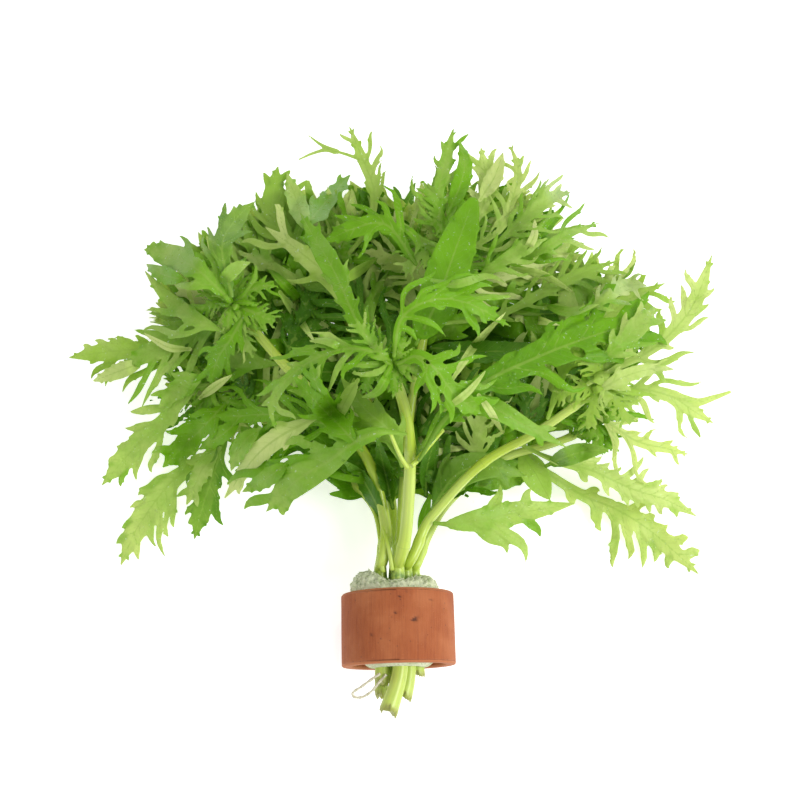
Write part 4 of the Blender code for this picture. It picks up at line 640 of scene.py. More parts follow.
def even_tips(leaf, midrib):
    """Set lobes in pairs along the midrib, longest below the middle."""
    tips = []
    for pair in range(leaf["lobes"]):
        share = 0.30 + 0.55 * pair / max(leaf["lobes"] - 1, 1)
        size = leaf["reach"] * (1.0 - 0.45 * abs(share - 0.45) / 0.45)
        for side in (1, -1):
            stir = 1.0 + 0.26 * math.sin(7.3 * pair + 2.1 * side + seed_of(leaf["name"]))
            ahead = share + (0.62 + 0.2 * math.sin(5 * pair + side)) * size * stir / midrib.length
            tips.append(tuple(midrib.place(ahead) + side * size * stir * midrib.leftward(min(ahead, 1.0))))
    return tips


def lobes_between(leaf, midrib, side, lobes):
    """Set a lobe between two far ones, and a short one in each long bare stretch of a cut leaf's side."""
    fresh = []
    if leaf.get("broad") or leaf.get("sparse"):
        return fresh
    for before, after in zip(lobes, lobes[1:]):
        apart = np.linalg.norm(after[1] - before[1])
        if apart > CLOSE_TIPS and CLOSE_ROOTS / midrib.length < after[0] - before[0] < BARE_STRETCH:
            root = 0.5 * (before[0] + after[0])
            fresh.append([root, 0.46 * (before[1] + after[1]) + 0.08 * midrib.place(root)])
    roots = [lobe[0] for lobe in lobes]
    for low, high in zip([FIRST_ROOT] + roots, roots + [LAST_SPACE]):
        if high - low > BARE_STRETCH:
            root = 0.5 * (low + high)
            size = SHORT_LOBE * (1.1 - 0.4 * root)
            way = 0.78 * midrib.heading(root) + 0.62 * side * midrib.leftward(root)
            fresh.append([root, midrib.place(root) + size * way])
    return fresh


def lobes_of(leaf, midrib):
    """Work out where each lobe leaves the midrib."""
    tips = leaf["tips"] if "tips" in leaf else even_tips(leaf, midrib)
    sides = {1: [], -1: []}
    for tip in tips:
        tip = np.array(tip[:2], float)
        share, gap = midrib.nearest(tip)
        side = 1 if np.dot(tip - midrib.place(share), midrib.leftward(share)) > 0 else -1
        past = max(np.dot(tip - midrib.place(1.0), midrib.heading(1.0)), 0.0) / midrib.length
        root = share + past - gap / math.tan(leaf.get("lean", LOBE_LEAN)) / midrib.length
        sides[side].append([min(max(root, FIRST_ROOT), LAST_ROOT), tip])
    for side in sides:
        sides[side].sort(key=lambda lobe: lobe[0])
        sides[side] += lobes_between(leaf, midrib, side, sides[side])
        sides[side].sort(key=lambda lobe: lobe[0])
        foot = 1.9 * leaf["lobe"] / midrib.length
        for before, after in zip(sides[side], sides[side][1:]):
            after[0] = max(after[0], before[0] + foot)
        spill = max([lobe[0] for lobe in sides[side]] + [ROOT_LIMIT]) - ROOT_LIMIT
        for lobe in sides[side]:
            lobe[0] -= spill * (lobe[0] - 0.1) / 0.8
    return sides


def blade_half_width(leaf, share, first):
    """Half width of the blade: a thin petiole, then the leaf's own width, then a tapered end."""
    if leaf.get("broad"):
        across = np.clip((share - 0.08) / 0.92, 0.0, 1.0)
        full = leaf["blade"] * np.maximum(np.sin(np.pi * across ** 0.8), 0.0) ** leaf.get("blunt", 0.9)
        return PETIOLE_HALF_WIDTH * (1 - across) + full
    grow = np.clip(share / first, 0.0, 1.0) ** 3
    foot = PETIOLE_HALF_WIDTH + (leaf["blade"] * 0.62 - PETIOLE_HALF_WIDTH) * grow
    across = np.clip((share - first) / (1.0 - first), 0.0, 1.0)
    full = leaf["blade"] * (0.62 + 0.8 * np.sin(np.pi * across ** 1.8)) * (1.0 - across ** 6)
    return np.where(share < first, foot, full)


def lobe_line(midrib, root, tip, steps=11):
    """A lobe's middle line: it leaves the midrib steeply, turns forward to its tip and sways a little."""
    t = np.linspace(0, 1, steps)[:, None]
    start = midrib.place(root)
    size = np.linalg.norm(tip - start)
    side = 1 if np.dot(tip - start, midrib.leftward(root)) > 0 else -1
    out = 0.66 * side * midrib.leftward(root) + 0.75 * midrib.heading(root)
    bend = start + (0.5 + 0.12 * math.sin(9.1 * tip[0] + 3.7 * tip[1])) * size * out
    aside = np.array([start[1] - tip[1], tip[0] - start[0]])
    sway = 0.13 * math.sin(5.3 * tip[0] + 2.9 * tip[1]) * t * np.sin(2 * np.pi * t)
    return (1 - t) ** 2 * start + 2 * t * (1 - t) * bend + t * t * tip + sway * aside


# Leaf outline and substance


class Outline:
    """A leaf's outline on the plan: ribbons that run together where they meet, as a web of blade."""

    def __init__(self):
        self.ribbons, self.slits = [], []

    def slit(self, line, widths, hole=False):
        """A gap cut out of the blade along a line, between the lobes or, as a hole, anywhere."""
        line, widths = np.array(line, float), np.array(widths, float)
        self.slits.append(dict(line=line, widths=widths, run=run_along(line), hole=hole))

    def opened(self, depth, core, spots):
        """Take the slits out of a depth, but leave the core of the midrib and of the lobes whole."""
        for holes in (False, True):
            for slit in self.slits:
                near = self.near(slit, spots, 1.0)
                if slit["hole"] == holes and near.any():
                    depth[near] = np.minimum(depth[near], self.measure(slit, spots[near])[0])
            depth = depth if holes else np.maximum(depth, core)
        return depth

    def add(self, line, widths, vein=None, tip=(0.0, 0.0), twist=0.0, curl=0.0, cup=0.0, stir=0.0,
            core=0.6):
        """A ribbon along a line; vein gives its vein's half width at both ends, None for a mere tooth."""
        line, widths = np.array(line, float), np.array(widths, float)
        self.ribbons.append(dict(line=line, widths=widths, run=run_along(line), vein=vein, tip=tip,
                                 twist=twist, curl=curl, cup=cup, stir=stir, core=core))

    def box(self, margin=1.5):
        """The lowest and highest corner round all ribbons."""
        low = np.min([r["line"].min(axis=0) - r["widths"].max() for r in self.ribbons], axis=0)
        high = np.max([r["line"].max(axis=0) + r["widths"].max() for r in self.ribbons], axis=0)
        return low - margin, high + margin

    @staticmethod
    def measure(ribbon, spots):
        """Distance out of the ribbon's edge and off its line, place along it and signed place across it."""
        a, b = ribbon["line"][:-1], ribbon["line"][1:]
        step = b - a
        size = np.maximum((step ** 2).sum(axis=1), 1e-9)
        off = spots[:, None, :] - a[None, :, :]
        t = np.clip((off * step).sum(axis=2) / size, 0.0, 1.0)
        gap = off - t[:, :, None] * step
        line_gap = np.sqrt((gap ** 2).sum(axis=2))
        wide = ribbon["widths"][:-1] + t * np.diff(ribbon["widths"])
        best = np.argmin(line_gap - wide, axis=1)
        row = np.arange(len(spots))
        turned = step[best, 0] * off[row, best, 1] - step[best, 1] * off[row, best, 0]
        along = ribbon["run"][best] + t[row, best] * np.sqrt(size[best])
        off_line = line_gap[row, best]
        return (line_gap - wide)[row, best], off_line, along, np.sign(turned) * off_line

    def depth(self, spots):
        """How far inside the outline each spot lies, negative outside."""
        total = np.full(len(spots), FAINT)
        teeth, core = np.full(len(spots), FAR_OUT), np.full(len(spots), FAR_OUT)
        for ribbon in self.ribbons:
            near = self.near(ribbon, spots)
            if not near.any():
                continue
            out, gap, _, _ = self.measure(ribbon, spots[near])
            if ribbon["vein"] is None:
                teeth[near] = np.maximum(teeth[near], -out)
            else:
                total[near] += np.exp(-out / WEB)
                core[near] = np.maximum(core[near], ribbon["core"] * (gap - out) - gap)
        return self.opened(np.maximum(WEB * np.log(total), teeth), core, spots)

    @staticmethod
    def near(ribbon, spots, reach=3.0):
        """Which spots lie within reach of the box round a ribbon."""
        wide = ribbon["widths"].max() + reach
        return np.all((spots > ribbon["line"].min(axis=0) - wide)
                      & (spots < ribbon["line"].max(axis=0) + wide), axis=1)

    def read(self, spots):
        """Depth, relief and the values that the finish needs, at spots inside the outline."""
        count = len(spots)
        total, web = np.full((2, count), FAINT)
        teeth, core = np.full((2, count), FAR_OUT)
        vein = np.full(count, -FAR_OUT)
        lift, tip, strongest, bulge, stir, along, across = np.zeros((7, count))
        for ribbon in self.ribbons:
            near = self.near(ribbon, spots)
            if not near.any():
                continue
            out, gap, run, side = self.measure(ribbon, spots[near])
            weight = np.exp(-out / WEB)
            total[near] += weight
            share = run / ribbon["run"][-1]
            wide = np.maximum(ribbon["widths"].max(), 0.3)
            rise = ribbon["cup"] * np.minimum(side ** 2, 4 * wide ** 2) / wide
            rise = rise + ribbon["twist"] * side * share - ribbon["curl"] * share ** 2 * ribbon["run"][-1]
            lift[near] += weight * rise
            tip[near] += weight * (ribbon["tip"][0] + (ribbon["tip"][1] - ribbon["tip"][0]) * share)
            if ribbon["vein"] is None:
                teeth[near] = np.maximum(teeth[near], -out)
                continue
            web[near] += weight
            core[near] = np.maximum(core[near], ribbon["core"] * (gap - out) - gap)
            stir[near] += weight * ribbon["stir"] * np.clip(share * 3.0, 0.0, 1.0)
            half = ribbon["vein"][0] + (ribbon["vein"][1] - ribbon["vein"][0]) * share
            vein[near] = np.minimum(vein[near], gap / half)
            swell = half * np.sqrt(np.maximum(1.0 - (gap / (1.3 * half)) ** 2, 0.0))
            bulge[near] = np.maximum(bulge[near], swell)
            first = weight > strongest[near]
            here = np.flatnonzero(near)[first]
            strongest[here], along[here], across[here] = weight[first], run[first], side[first]
        depth = np.maximum(self.opened(np.maximum(WEB * np.log(web), teeth), core, spots), 0.0)
        return dict(depth=depth, lift=lift / total, tip=tip / total, stir=stir / total,
                    vein=vein, bulge=bulge, along=along, across=np.abs(across))


def cut_out(outline, cell):
    """Triangles inside an outline, cut exactly along its edge."""
    low, high = outline.box()
    counts = np.ceil((high - low) / cell).astype(int) + 1
    across, along = np.meshgrid(np.arange(counts[0]), np.arange(counts[1]), indexing="ij")
    spots = np.stack([across.ravel() + 0.5 * (along.ravel() % 2), along.ravel() * 0.9], axis=1) * cell + low
    depth = outline.depth(spots)
    corner = across * counts[1] + along
    a, b = corner[:-1, :-1].ravel(), corner[1:, :-1].ravel()
    c, d = corner[:-1, 1:].ravel(), corner[1:, 1:].ravel()
    even = along[:-1, :-1].ravel() % 2 == 0
    first = np.where(even[:, None], np.stack([a, b, c], axis=1), np.stack([a, b, d], axis=1))
    second = np.where(even[:, None], np.stack([b, d, c], axis=1), np.stack([a, d, c], axis=1))
    triangles = np.vstack([first, second])
    inside = depth > 0
    count = inside[triangles].sum(axis=1)
    whole = triangles[count == 3]
    base = len(spots)

    def turned(rows, marks):
        """Turn each triangle until its marked corner comes first."""
        start = np.argmax(marks, axis=1)
        return rows[np.arange(len(rows))[:, None], (start[:, None] + np.arange(3)) % 3]

    ones = triangles[count == 1]
    ones = turned(ones, inside[ones])
    twos = triangles[count == 2]
    twos = turned(twos, ~inside[twos])
    edges = np.vstack([ones[:, [0, 1]], ones[:, [0, 2]], twos[:, [0, 1]], twos[:, [0, 2]]])
    keys = edges.min(axis=1) * base + edges.max(axis=1)
    known, where = np.unique(keys, return_inverse=True)
    p, q = known // base, known % base
    share = np.clip(depth[p] / (depth[p] - depth[q]), 0.02, 0.98)[:, None]
    rim = spots[p] + share * (spots[q] - spots[p])
    n, m = len(ones), len(twos)
    where = where + base
    ab, ac, xb, xc = where[:n], where[n:2 * n], where[2 * n:2 * n + m], where[2 * n + m:]
    pieces = [whole, np.stack([ones[:, 0], ab, ac], axis=1), np.stack([xb, twos[:, 1], twos[:, 2]], axis=1),
              np.stack([xb, twos[:, 2], xc], axis=1)]
    triangles = np.vstack(pieces)
    used, triangles = np.unique(triangles, return_inverse=True)
    triangles = triangles.reshape(-1, 3)
    return np.vstack([spots, rim])[used], triangles, used >= base


class Heap:
    """Collects leaves for one mesh: points, triangles, the looks of their faces and values for the finish."""

    VALUES = ("vein", "along", "across", "tip", "tone")

    def __init__(self):
        self.points, self.triangles, self.looks, self.rims = [], [], [], []
        self.values = {name: [] for name in self.VALUES}
        self.count = 0

    def add(self, points, triangles, look, rim, values):
        """Put one leaf on the heap."""
        self.points.append(points)
        self.triangles.append(triangles + self.count)
        self.looks.append(np.broadcast_to(look, len(triangles)))
        self.rims.append(rim)
        for name in self.VALUES:
            self.values[name].append(np.broadcast_to(values[name], len(points)))
        self.count += len(points)

    def piece(self, name, materials):
        """Make the mesh object of all that was collected."""
        triangles = np.vstack(self.triangles)
        values = {value: np.concatenate(rows) for value, rows in self.values.items()}
        body = mesh_object(name, np.vstack(self.points), triangles.tolist(), np.ones(len(triangles), bool),
                           values, materials)
        data = body.data
        data.polygons.foreach_set("material_index", np.concatenate(self.looks).astype(np.int32))
        ends = np.empty(len(data.edges) * 2, np.int32)
        data.edges.foreach_get("vertices", ends)
        sharp = np.concatenate(self.rims)[ends.reshape(-1, 2)].all(axis=1)
        data.attributes.new("sharp_edge", "BOOLEAN", "EDGE").data.foreach_set("value", sharp)
        data.update()
        return body


def tooth_ribbons(outline, line, widths, teeth, reach, chance, bare=0.25):
    """Set small forward teeth along both edges of a ribbon."""
    run = np.linspace(0, 1, len(line))
    for place in teeth if reach > 0 else ():
        here = read_line(place, run, line)
        ahead = read_line(place + 0.05, run, line) - here
        ahead /= max(np.linalg.norm(ahead), 1e-6)
        wide = np.interp(place, run, widths)
        for side in (1, -1):
            if chance.random() < bare:
                continue
            out = side * np.array([-ahead[1], ahead[0]])
            size = reach * (0.7 + 0.6 * chance.random())
            start = here + 0.35 * wide * out
            end = here + (wide + 0.42 * size) * out + 0.9 * size * ahead
            outline.add([start, 0.5 * (start + end), end], [0.55 * wide, 0.34 * wide + 0.1, 0.02])


def draw_leaf(leaf, chance):
    """Draw a leaf's outline from its midrib, its lobes and their teeth."""
    midrib = Midrib(leaf["way"])
    sides = lobes_of(leaf, midrib)
    roots = sorted(lobe[0] for side in sides for lobe in sides[side])
    first = min([roots[0] - 0.06 if roots else FIRST_ROOT, 0.2])
    outline = Outline()
    shares = np.linspace(0, 1, max(int(midrib.length / 1.4), 14))
    line = np.array([midrib.place(share) for share in shares])
    widths = np.maximum(blade_half_width(leaf, shares, max(first, 0.05)), 0.05)
    vein = leaf.get("vein", MIDRIB_HALF_WIDTH)
    outline.add(line, widths, vein=(vein, VEIN_END), tip=(0.0, 1.0), cup=BLADE_CUP, core=0.8)
    tooth = leaf.get("tooth", TOOTH)
    if leaf.get("broad"):
        tooth_ribbons(outline, line, widths, np.arange(0.36, 0.95, 0.15), tooth, chance)
    else:
        tooth_ribbons(outline, line, widths, (0.84, 0.93), 1.2 * tooth, chance)
    for side in (1, -1):
        for root, tip in sides[side]:
            own = lobe_line(midrib, root, tip)
            length = np.linalg.norm(np.diff(own, axis=0), axis=1).sum()
            t = np.linspace(0, 1, len(own))
            wide = 0.62 * leaf["lobe"] * (0.8 + 0.4 * chance.random()) * min(1.0, 0.55 + length / 18.0)
            swell = 0.55 + 0.45 * np.sin(0.5 * np.pi * np.clip(t / 0.62, 0, 1)) ** 2
            widths = wide * swell * (1.0 - np.clip((t - 0.5) / 0.5, 0, 1) ** 1.7) + 0.03
            outline.add(own, widths, vein=LOBE_VEIN, tip=(0.55 * root, 0.45 + 0.55 * root),
                        twist=chance.normal(0.0, 0.28), curl=chance.normal(0.02, 0.06),
                        cup=chance.normal(0.10, 0.16), stir=chance.normal(0.0, 0.22))
            if length > TOOTHED_LOBE:
                tooth_ribbons(outline, own, widths, (chance.uniform(0.55, 0.7),), 0.7 * tooth, chance, 0.7)
        between_lobes(outline, leaf, midrib, sides[side])
    for way, half in leaf.get("branches", ()):
        line = smooth_way(way, 6)
        outline.add(line, half * np.linspace(1.0, 0.25, len(line)), vein=LOBE_VEIN, tip=(0.6, 1.0))
    for right, up, long, wide, lean in leaf.get("holes", ()):
        turn = np.linspace(-0.95, 0.95, 9)
        way = np.array([math.cos(math.radians(lean)), math.sin(math.radians(lean))])
        outline.slit(np.array([right, up]) + (turn * (long - 0.3 * wide))[:, None] * way,
                     wide * np.sqrt(1.0 - turn ** 2), hole=True)
    return outline


def between_lobes(outline, leaf, midrib, lobes):
    """Part neighbouring lobes with slits that are round at the web and widen outwards."""
    if leaf.get("broad"):
        return
    rows = [(root, lobe_line(midrib, root, tip, 15)) for root, tip in lobes]
    for (low, before), (high, after) in zip(rows, rows[1:]):
        middle = 0.5 * (before + after)
        ahead = np.gradient(middle, axis=0)
        ahead /= np.linalg.norm(ahead, axis=1)[:, None]
        gap = after - before
        apart = np.abs(gap[:, 0] * ahead[:, 1] - gap[:, 1] * ahead[:, 0])
        share = 0.5 * (low + high)
        web = float(blade_half_width(leaf, np.array([share]), 0.15)[0])
        off = np.array([midrib.nearest(spot)[1] for spot in middle])
        start = int(np.argmax(off > web + 0.6))
        if off.max() < web + 1.2 or start > 11 or apart[start:].max() < LEAST_SLIT:
            continue
        line, apart = middle[start:], apart[start:]
        open_up = np.clip(np.linspace(0.55, 2.6, len(line)), 0.0, 1.0)
        widths = SLIT_SHARE * np.clip(apart, LEAST_SLIT, 5.0) * open_up
        line = np.vstack([line, line[-1] + 2.0 * ahead[-1]])
        outline.slit(line, np.append(widths, 1.4 * widths[-1]))


def wave(spots, phase, size):
    """A gentle unevenness over the plan."""
    x, y = spots[:, 0] / size, spots[:, 1] / size
    return (np.sin(x * 1.7 + y * 0.9 + phase) + np.sin(y * 2.1 - x * 0.7 + 1.9 * phase)
            + 0.6 * np.sin(2.9 * x + 3.3 * y - phase)) / 2.6


def add_leaf(heap, leaf, height, cell, thickness):
    """Cut a leaf out, give it its heights and its thin substance, and add it to the heap."""
    chance = np.random.default_rng(seed_of(leaf["name"]))
    outline = draw_leaf(leaf, chance)
    spots, triangles, rim = cut_out(outline, cell)
    if len(triangles) == 0:
        return
    read = outline.read(spots)
    phase = chance.random() * 6.0
    level = height(spots) + read["lift"] + leaf.get("ruffle", RUFFLE) * wave(spots, phase, RUFFLE_SIZE)
    fade = np.clip(read["depth"] / EDGE_FADE, 0.0, 1.0)
    blade = 0.5 * thickness * np.sqrt(fade)
    half = np.maximum(blade, 0.75 * read["bulge"] * fade)
    half[rim] = 0.0
    level = np.maximum(level, half + 0.05)
    values = dict(read, tone=chance.normal(leaf.get("shade", 0.0), 0.1) + read["stir"])
    upper = in_space(spots[:, 0], spots[:, 1], level + half)
    lower = in_space(spots[:, 0], spots[:, 1], level - half)
    own = np.flatnonzero(~rim)
    place = np.arange(len(spots))
    place[own] = len(spots) + np.arange(len(own))
    points = np.vstack([upper, lower[own]])
    faces = np.vstack([triangles, place[triangles][:, ::-1]])
    sides = [TONES.index(leaf.get("tone", "bright")), len(TONES)]
    looks = np.repeat(sides[::-1] if leaf.get("turned") else sides, len(triangles))
    values = {name: np.concatenate([np.broadcast_to(values[name], len(spots)),
                                    np.broadcast_to(values[name], len(spots))[own]])
              for name in Heap.VALUES}
    heap.add(points, faces, looks, np.concatenate([rim, np.zeros(len(own), bool)]), values)


def young_leaf(name, start, end, bow, shape):
    """A small leaf from one point to another (right, up, height), bowed to one side."""
    start, end = np.array(start, float), np.array(end, float)
    step = end - start
    aside = np.array([-step[1], step[0]]) * bow
    way = [start[:2], start[:2] + 0.35 * step[:2] + 0.8 * aside, start[:2] + 0.7 * step[:2] + 0.7 * aside,
           end[:2]]
    size = float(np.linalg.norm(step[:2]))
    leaf = dict(shape, name=name, way=way, reach=shape["reach"] * size, blade=shape["blade"] * size,
                lobe=shape["lobe"] * size, tooth=0.6, vein=0.32, ruffle=0.3)
    heading = step[:2] / size

    def height(spots):
        off = spots - start[:2]
        share = np.clip(off @ heading / size, -0.1, 1.15)
        aside = off @ np.array([-heading[1], heading[0]])
        return start[2] + step[2] * share + shape["arch"] * 4 * share * (1 - share) - 0.012 * aside ** 2

    return leaf, height


class Crown:
    """How high the bunch stands over the plan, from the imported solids' own points."""

    def __init__(self, names):
        self.rows = np.vstack([np.stack(on_plan(corners_of(name)), axis=1) for name in names])

    def height(self, spot, reach=9.0):
        """The height under which three quarters of the points near a spot lie."""
        near = np.linalg.norm(self.rows[:, :2] - spot, axis=1) < reach
        return float(np.percentile(self.rows[near, 2], 75)) if near.sum() > 3 else 5.0


class Relief:
    """Lowest or highest level of some pieces over the plan, in cells of 1 mm."""

    LOW, SHAPE = np.array([-100.0, -90.0]), (200, 180)

    def __init__(self, names, lowest):
        self.level = np.full(self.SHAPE, OPEN_SKY if lowest else 0.0)
        for name in names:
            self.press(*on_plan(corners_of(name)), np.minimum if lowest else np.maximum)

    @classmethod
    def cells(cls, right, up):
        """The cell that each point lies in."""
        cell = np.round(np.stack([right, up], axis=1) - cls.LOW).astype(int)
        return tuple(np.clip(cell, 0, np.array(cls.SHAPE) - 1).T)

    def press(self, right, up, height, pick):
        """Lower or raise the level to the points' heights."""
        pick.at(self.level, self.cells(right, up), height)

    def around(self, pick):
        """Pick the lowest or highest of each cell and its eight neighbours."""
        return pick([np.roll(self.level, (i, j), (0, 1)) for i in (-1, 0, 1) for j in (-1, 0, 1)], axis=0)

    def as_ceiling(self, room):
        """Keep just under the solids, and rise past their edges no faster than a leaf can bend."""
        self.level = np.maximum(self.around(np.min) - room, LOWEST_LEAF)
        return self.slope(60)

    def slope(self, turns):
        """Even out steep steps, one cell further each turn."""
        for _ in range(turns):
            self.level = np.minimum(self.level, self.around(np.min) + CEILING_SLOPE)
        return self

    def as_blanket(self):
        """Lie over the solids as a soft sheet would."""
        self.level = self.around(np.max)
        for _ in range(3):
            self.level = self.around(np.mean)
        return self

    def height(self, spots):
        """The level at the spots, read between the cells' middles."""
        place = np.clip(spots - self.LOW, 0, np.array(self.SHAPE) - 1.001)
        low = place.astype(int)
        part = place - low
        corner = [[self.level[low[:, 0] + i, low[:, 1] + j] for j in (0, 1)] for i in (0, 1)]
        near = corner[0][0] * (1 - part[:, 0]) + corner[1][0] * part[:, 0]
        far = corner[0][1] * (1 - part[:, 0]) + corner[1][1] * part[:, 0]
        return near * (1 - part[:, 1]) + far * part[:, 1]


def slip_height(slip, blanket):
    """Height of a slip: between its two levels if it has them, else out of the blanket and over it."""
    start, level = np.array(slip["way"][0]), slip.get("level")
    length = np.linalg.norm(np.array(slip["way"][-1]) - start)

    def height(spots):
        share = np.linalg.norm(spots - start, axis=1) / length
        if level:
            return level[0] + (level[1] - level[0]) * share
        lift = (SLIP_ROOT + slip.get("rise", SLIP_RISE)) * np.clip(3.0 * share, 0.0, 1.0)
        return blanket.height(spots) - SLIP_ROOT + lift

    return height


def within(spot, border):
    """True if a spot lies inside a closed line."""
    a, b = border, np.roll(border, -1, axis=0)
    crosses = (a[:, 1] > spot[1]) != (b[:, 1] > spot[1])
    safe = np.where(crosses, b[:, 1] - a[:, 1], 1.0)
    right = a[:, 0] + (spot[1] - a[:, 1]) / safe * (b[:, 0] - a[:, 0])
    return int((crosses & (spot[0] < right)).sum()) % 2 == 1


class Thicket:
    """Grows the leaves inside the bunch, the highest first and each one clear below the last."""

    def __init__(self, look):
        self.crown = Crown([item["name"] for item in LEAVES + TUFTS])
        over = STEMS[HIDDEN_STEMS:] + TUFTS[HIDDEN_TUFTS:] + LEAVES[HIDDEN_LEAVES:]
        over = [piece_name(item["name"]) for item in over]
        self.ceiling = Relief(over, lowest=True).as_ceiling(CEILING_ROOM)
        self.cell, self.thickness = INNER_COARSER * look.cell / MM, look.thickness / MM
        self.heaps = {stem["name"]: Heap() for stem in STEMS}
        self.waiting = []
        self.covered = np.zeros(Relief.SHAPE, int)
        for body in bpy.data.objects:
            if body.name.endswith(("_leaf", "_tuft")):
                self.covered[Relief.cells(*on_plan(corners_of(body.name))[:2])] += 1
        self.wanted = np.array([[within(Relief.LOW + (i, j), DENSE) for j in range(Relief.SHAPE[1])]
                                for i in range(Relief.SHAPE[0])])

    def sow(self, stem, label, start, end, chance, rise, form=None):
        """Choose the form, unless it is given, and the tone of one leaf from a stem to an end on the plan."""
        shape = dict(form or FORMS[int(chance.choice(len(FORMS), p=FORM_SHARES))])
        outward = np.array(end) - np.array(start[:2])
        rim = not within(np.array(end) + RIM_REACH * outward / np.linalg.norm(outward), DENSE)
        tone = int(chance.choice(3, p=RIM_TONES if rim else INNER_TONES))
        turned = chance.random() < TURNED_SHARE
        # Painted shade and painted light: a leaf lying lower in the bunch is made darker, and one at the rim
        # paler, as light shines through it.
        shade = chance.normal(INNER_SHADES[tone] + 0.3 * turned, 0.4) + 1.1 * (rise - 0.8) + 0.5 * rim
        shape.update(tone=TONES[tone], shade=shade, arch=chance.uniform(0.5, 3.0), turned=turned)
        leaf, height = young_leaf(f"{stem}{label}", start, (*end, rise * self.crown.height(end)),
                                  chance.uniform(-0.16, 0.16) * (0.3 if form else 1.0), shape)
        self.waiting.append((rise, stem, leaf, height))

    def grow(self):
        """Cut out the leaves that were sown."""
        for _, stem, leaf, height in sorted(self.waiting, key=lambda row: -row[0]):
            heap = self.heaps[stem]
            add_leaf(heap, leaf, lambda spots: np.minimum(height(spots), self.ceiling.height(spots)),
                     self.cell, self.thickness)
            right, up, level = on_plan(heap.points[-1])
            self.covered[Relief.cells(right, up)] += 1
            self.ceiling.press(right, up, np.maximum(level - LAYER, LOWEST_LEAF), np.minimum)
            self.ceiling.slope(7)
        self.waiting = []

    def thinnest(self):
        """The middle of the widest bare place, or None where all is covered."""
        bare = (self.wanted & (self.covered < LEAST_LAYERS)).astype(float)
        around = sum(np.roll(bare, (i, j), (0, 1)) for i in range(-3, 4) for j in range(-3, 4))
        best = np.unravel_index(np.argmax(around * bare), bare.shape)
        if around[best] * bare[best] <= SMALLEST_GAP:
            return None
        self.covered[best[0] - 1:best[0] + 2, best[1] - 1:best[1] + 2] += 1
        return Relief.LOW + best


# Materials


class Graph:
    """A short way to lay out a material's nodes."""

    def __init__(self, name):
        self.material = bpy.data.materials.new(name)
        self.material.use_nodes = True
        self.tree = self.material.node_tree
        self.shader = self.tree.nodes["Principled BSDF"]
        self.out = self.tree.nodes["Material Output"]
        self.shader.inputs["Metallic"].default_value = 0.0

    def wire(self, socket, value):
        """Link a socket, or set it to a constant."""
        if isinstance(value, bpy.types.NodeSocket):
            self.tree.links.new(value, socket)
        elif value is not None:
            socket.default_value = value

    def node(self, kind, **options):
        """Add a node with its options."""
        node = self.tree.nodes.new(kind)
        for option, value in options.items():
            setattr(node, option, value)
        return node

    def value(self, name):
        """A number that the points of the mesh carry."""
        node = self.node("ShaderNodeAttribute", attribute_type="GEOMETRY", attribute_name=name)
        return node.outputs["Fac"]

    def maths(self, operation, a, b=None, c=None):
        """One step of arithmetic."""
        node = self.node("ShaderNodeMath", operation=operation)
        for socket, value in zip(node.inputs, (a, b, c)):
            self.wire(socket, value)
        return node.outputs[0]

    def times(self, a, b):
        """One value scaled by another."""
        return self.maths("MULTIPLY", a, b)

    def span(self, value, low, high, to_low=0.0, to_high=1.0):
        """Carry the span from low to high smoothly over to another one."""
        node = self.node("ShaderNodeMapRange", interpolation_type="SMOOTHSTEP")
        for name, given in (("Value", value), ("From Min", low), ("From Max", high), ("To Min", to_low),
                            ("To Max", to_high)):
            self.wire(node.inputs[name], given)
        return node.outputs["Result"]

    def place(self, scale=(1.0, 1.0, 1.0)):
        """Object coordinates in millimetres, stretched by scale."""
        mapping = self.node("ShaderNodeMapping")
        mapping.inputs["Scale"].default_value = [part / MM for part in scale]
        self.wire(mapping.inputs["Vector"], self.node("ShaderNodeTexCoord").outputs["Object"])
        return mapping.outputs["Vector"]

    def noise(self, place, scale, detail=2.0, roughness=0.5):
        """Soft clouds."""
        node = self.node("ShaderNodeTexNoise")
        self.wire(node.inputs["Vector"], place)
        for name, given in (("Scale", scale), ("Detail", detail), ("Roughness", roughness)):
            self.wire(node.inputs[name], given)
        return node.outputs["Fac"]

    def cells(self, place, scale):
        """The distance to the nearest of many scattered points."""
        node = self.node("ShaderNodeTexVoronoi")
        self.wire(node.inputs["Vector"], place)
        self.wire(node.inputs["Scale"], scale)
        return node.outputs["Distance"]

    def mix(self, share, a, b):
        """A colour between two others."""
        node = self.node("ShaderNodeMix", data_type="RGBA")
        self.wire(node.inputs["Factor"], share)
        for socket, given in ((node.inputs[6], a), (node.inputs[7], b)):
            if isinstance(given, bpy.types.NodeSocket):
                self.wire(socket, given)
            else:
                socket.default_value = (*tuple(given)[:3], 1.0)
        return node.outputs[2]

    def bump(self, height, strength, distance, before=None):
        """Raise the surface in looks only, by up to a distance in mm, on top of what was raised before."""
        node = self.node("ShaderNodeBump")
        node.inputs["Strength"].default_value = strength
        node.inputs["Distance"].default_value = distance * MM
        self.wire(node.inputs["Height"], height)
        if before is not None:
            self.wire(node.inputs["Normal"], before)
        return node.outputs["Normal"]

    def glow_within(self, share, radius):
        """Let light wander under the surface."""
        self.shader.inputs["Subsurface Weight"].default_value = share
        self.shader.inputs["Subsurface Radius"].default_value = radius

    def finish(self, colour, roughness, normal):
        """Set the three main inputs of the shader."""
        self.wire(self.shader.inputs["Base Color"], colour)
        self.wire(self.shader.inputs["Roughness"], roughness)
        self.wire(self.shader.inputs["Normal"], normal)
        return self.material


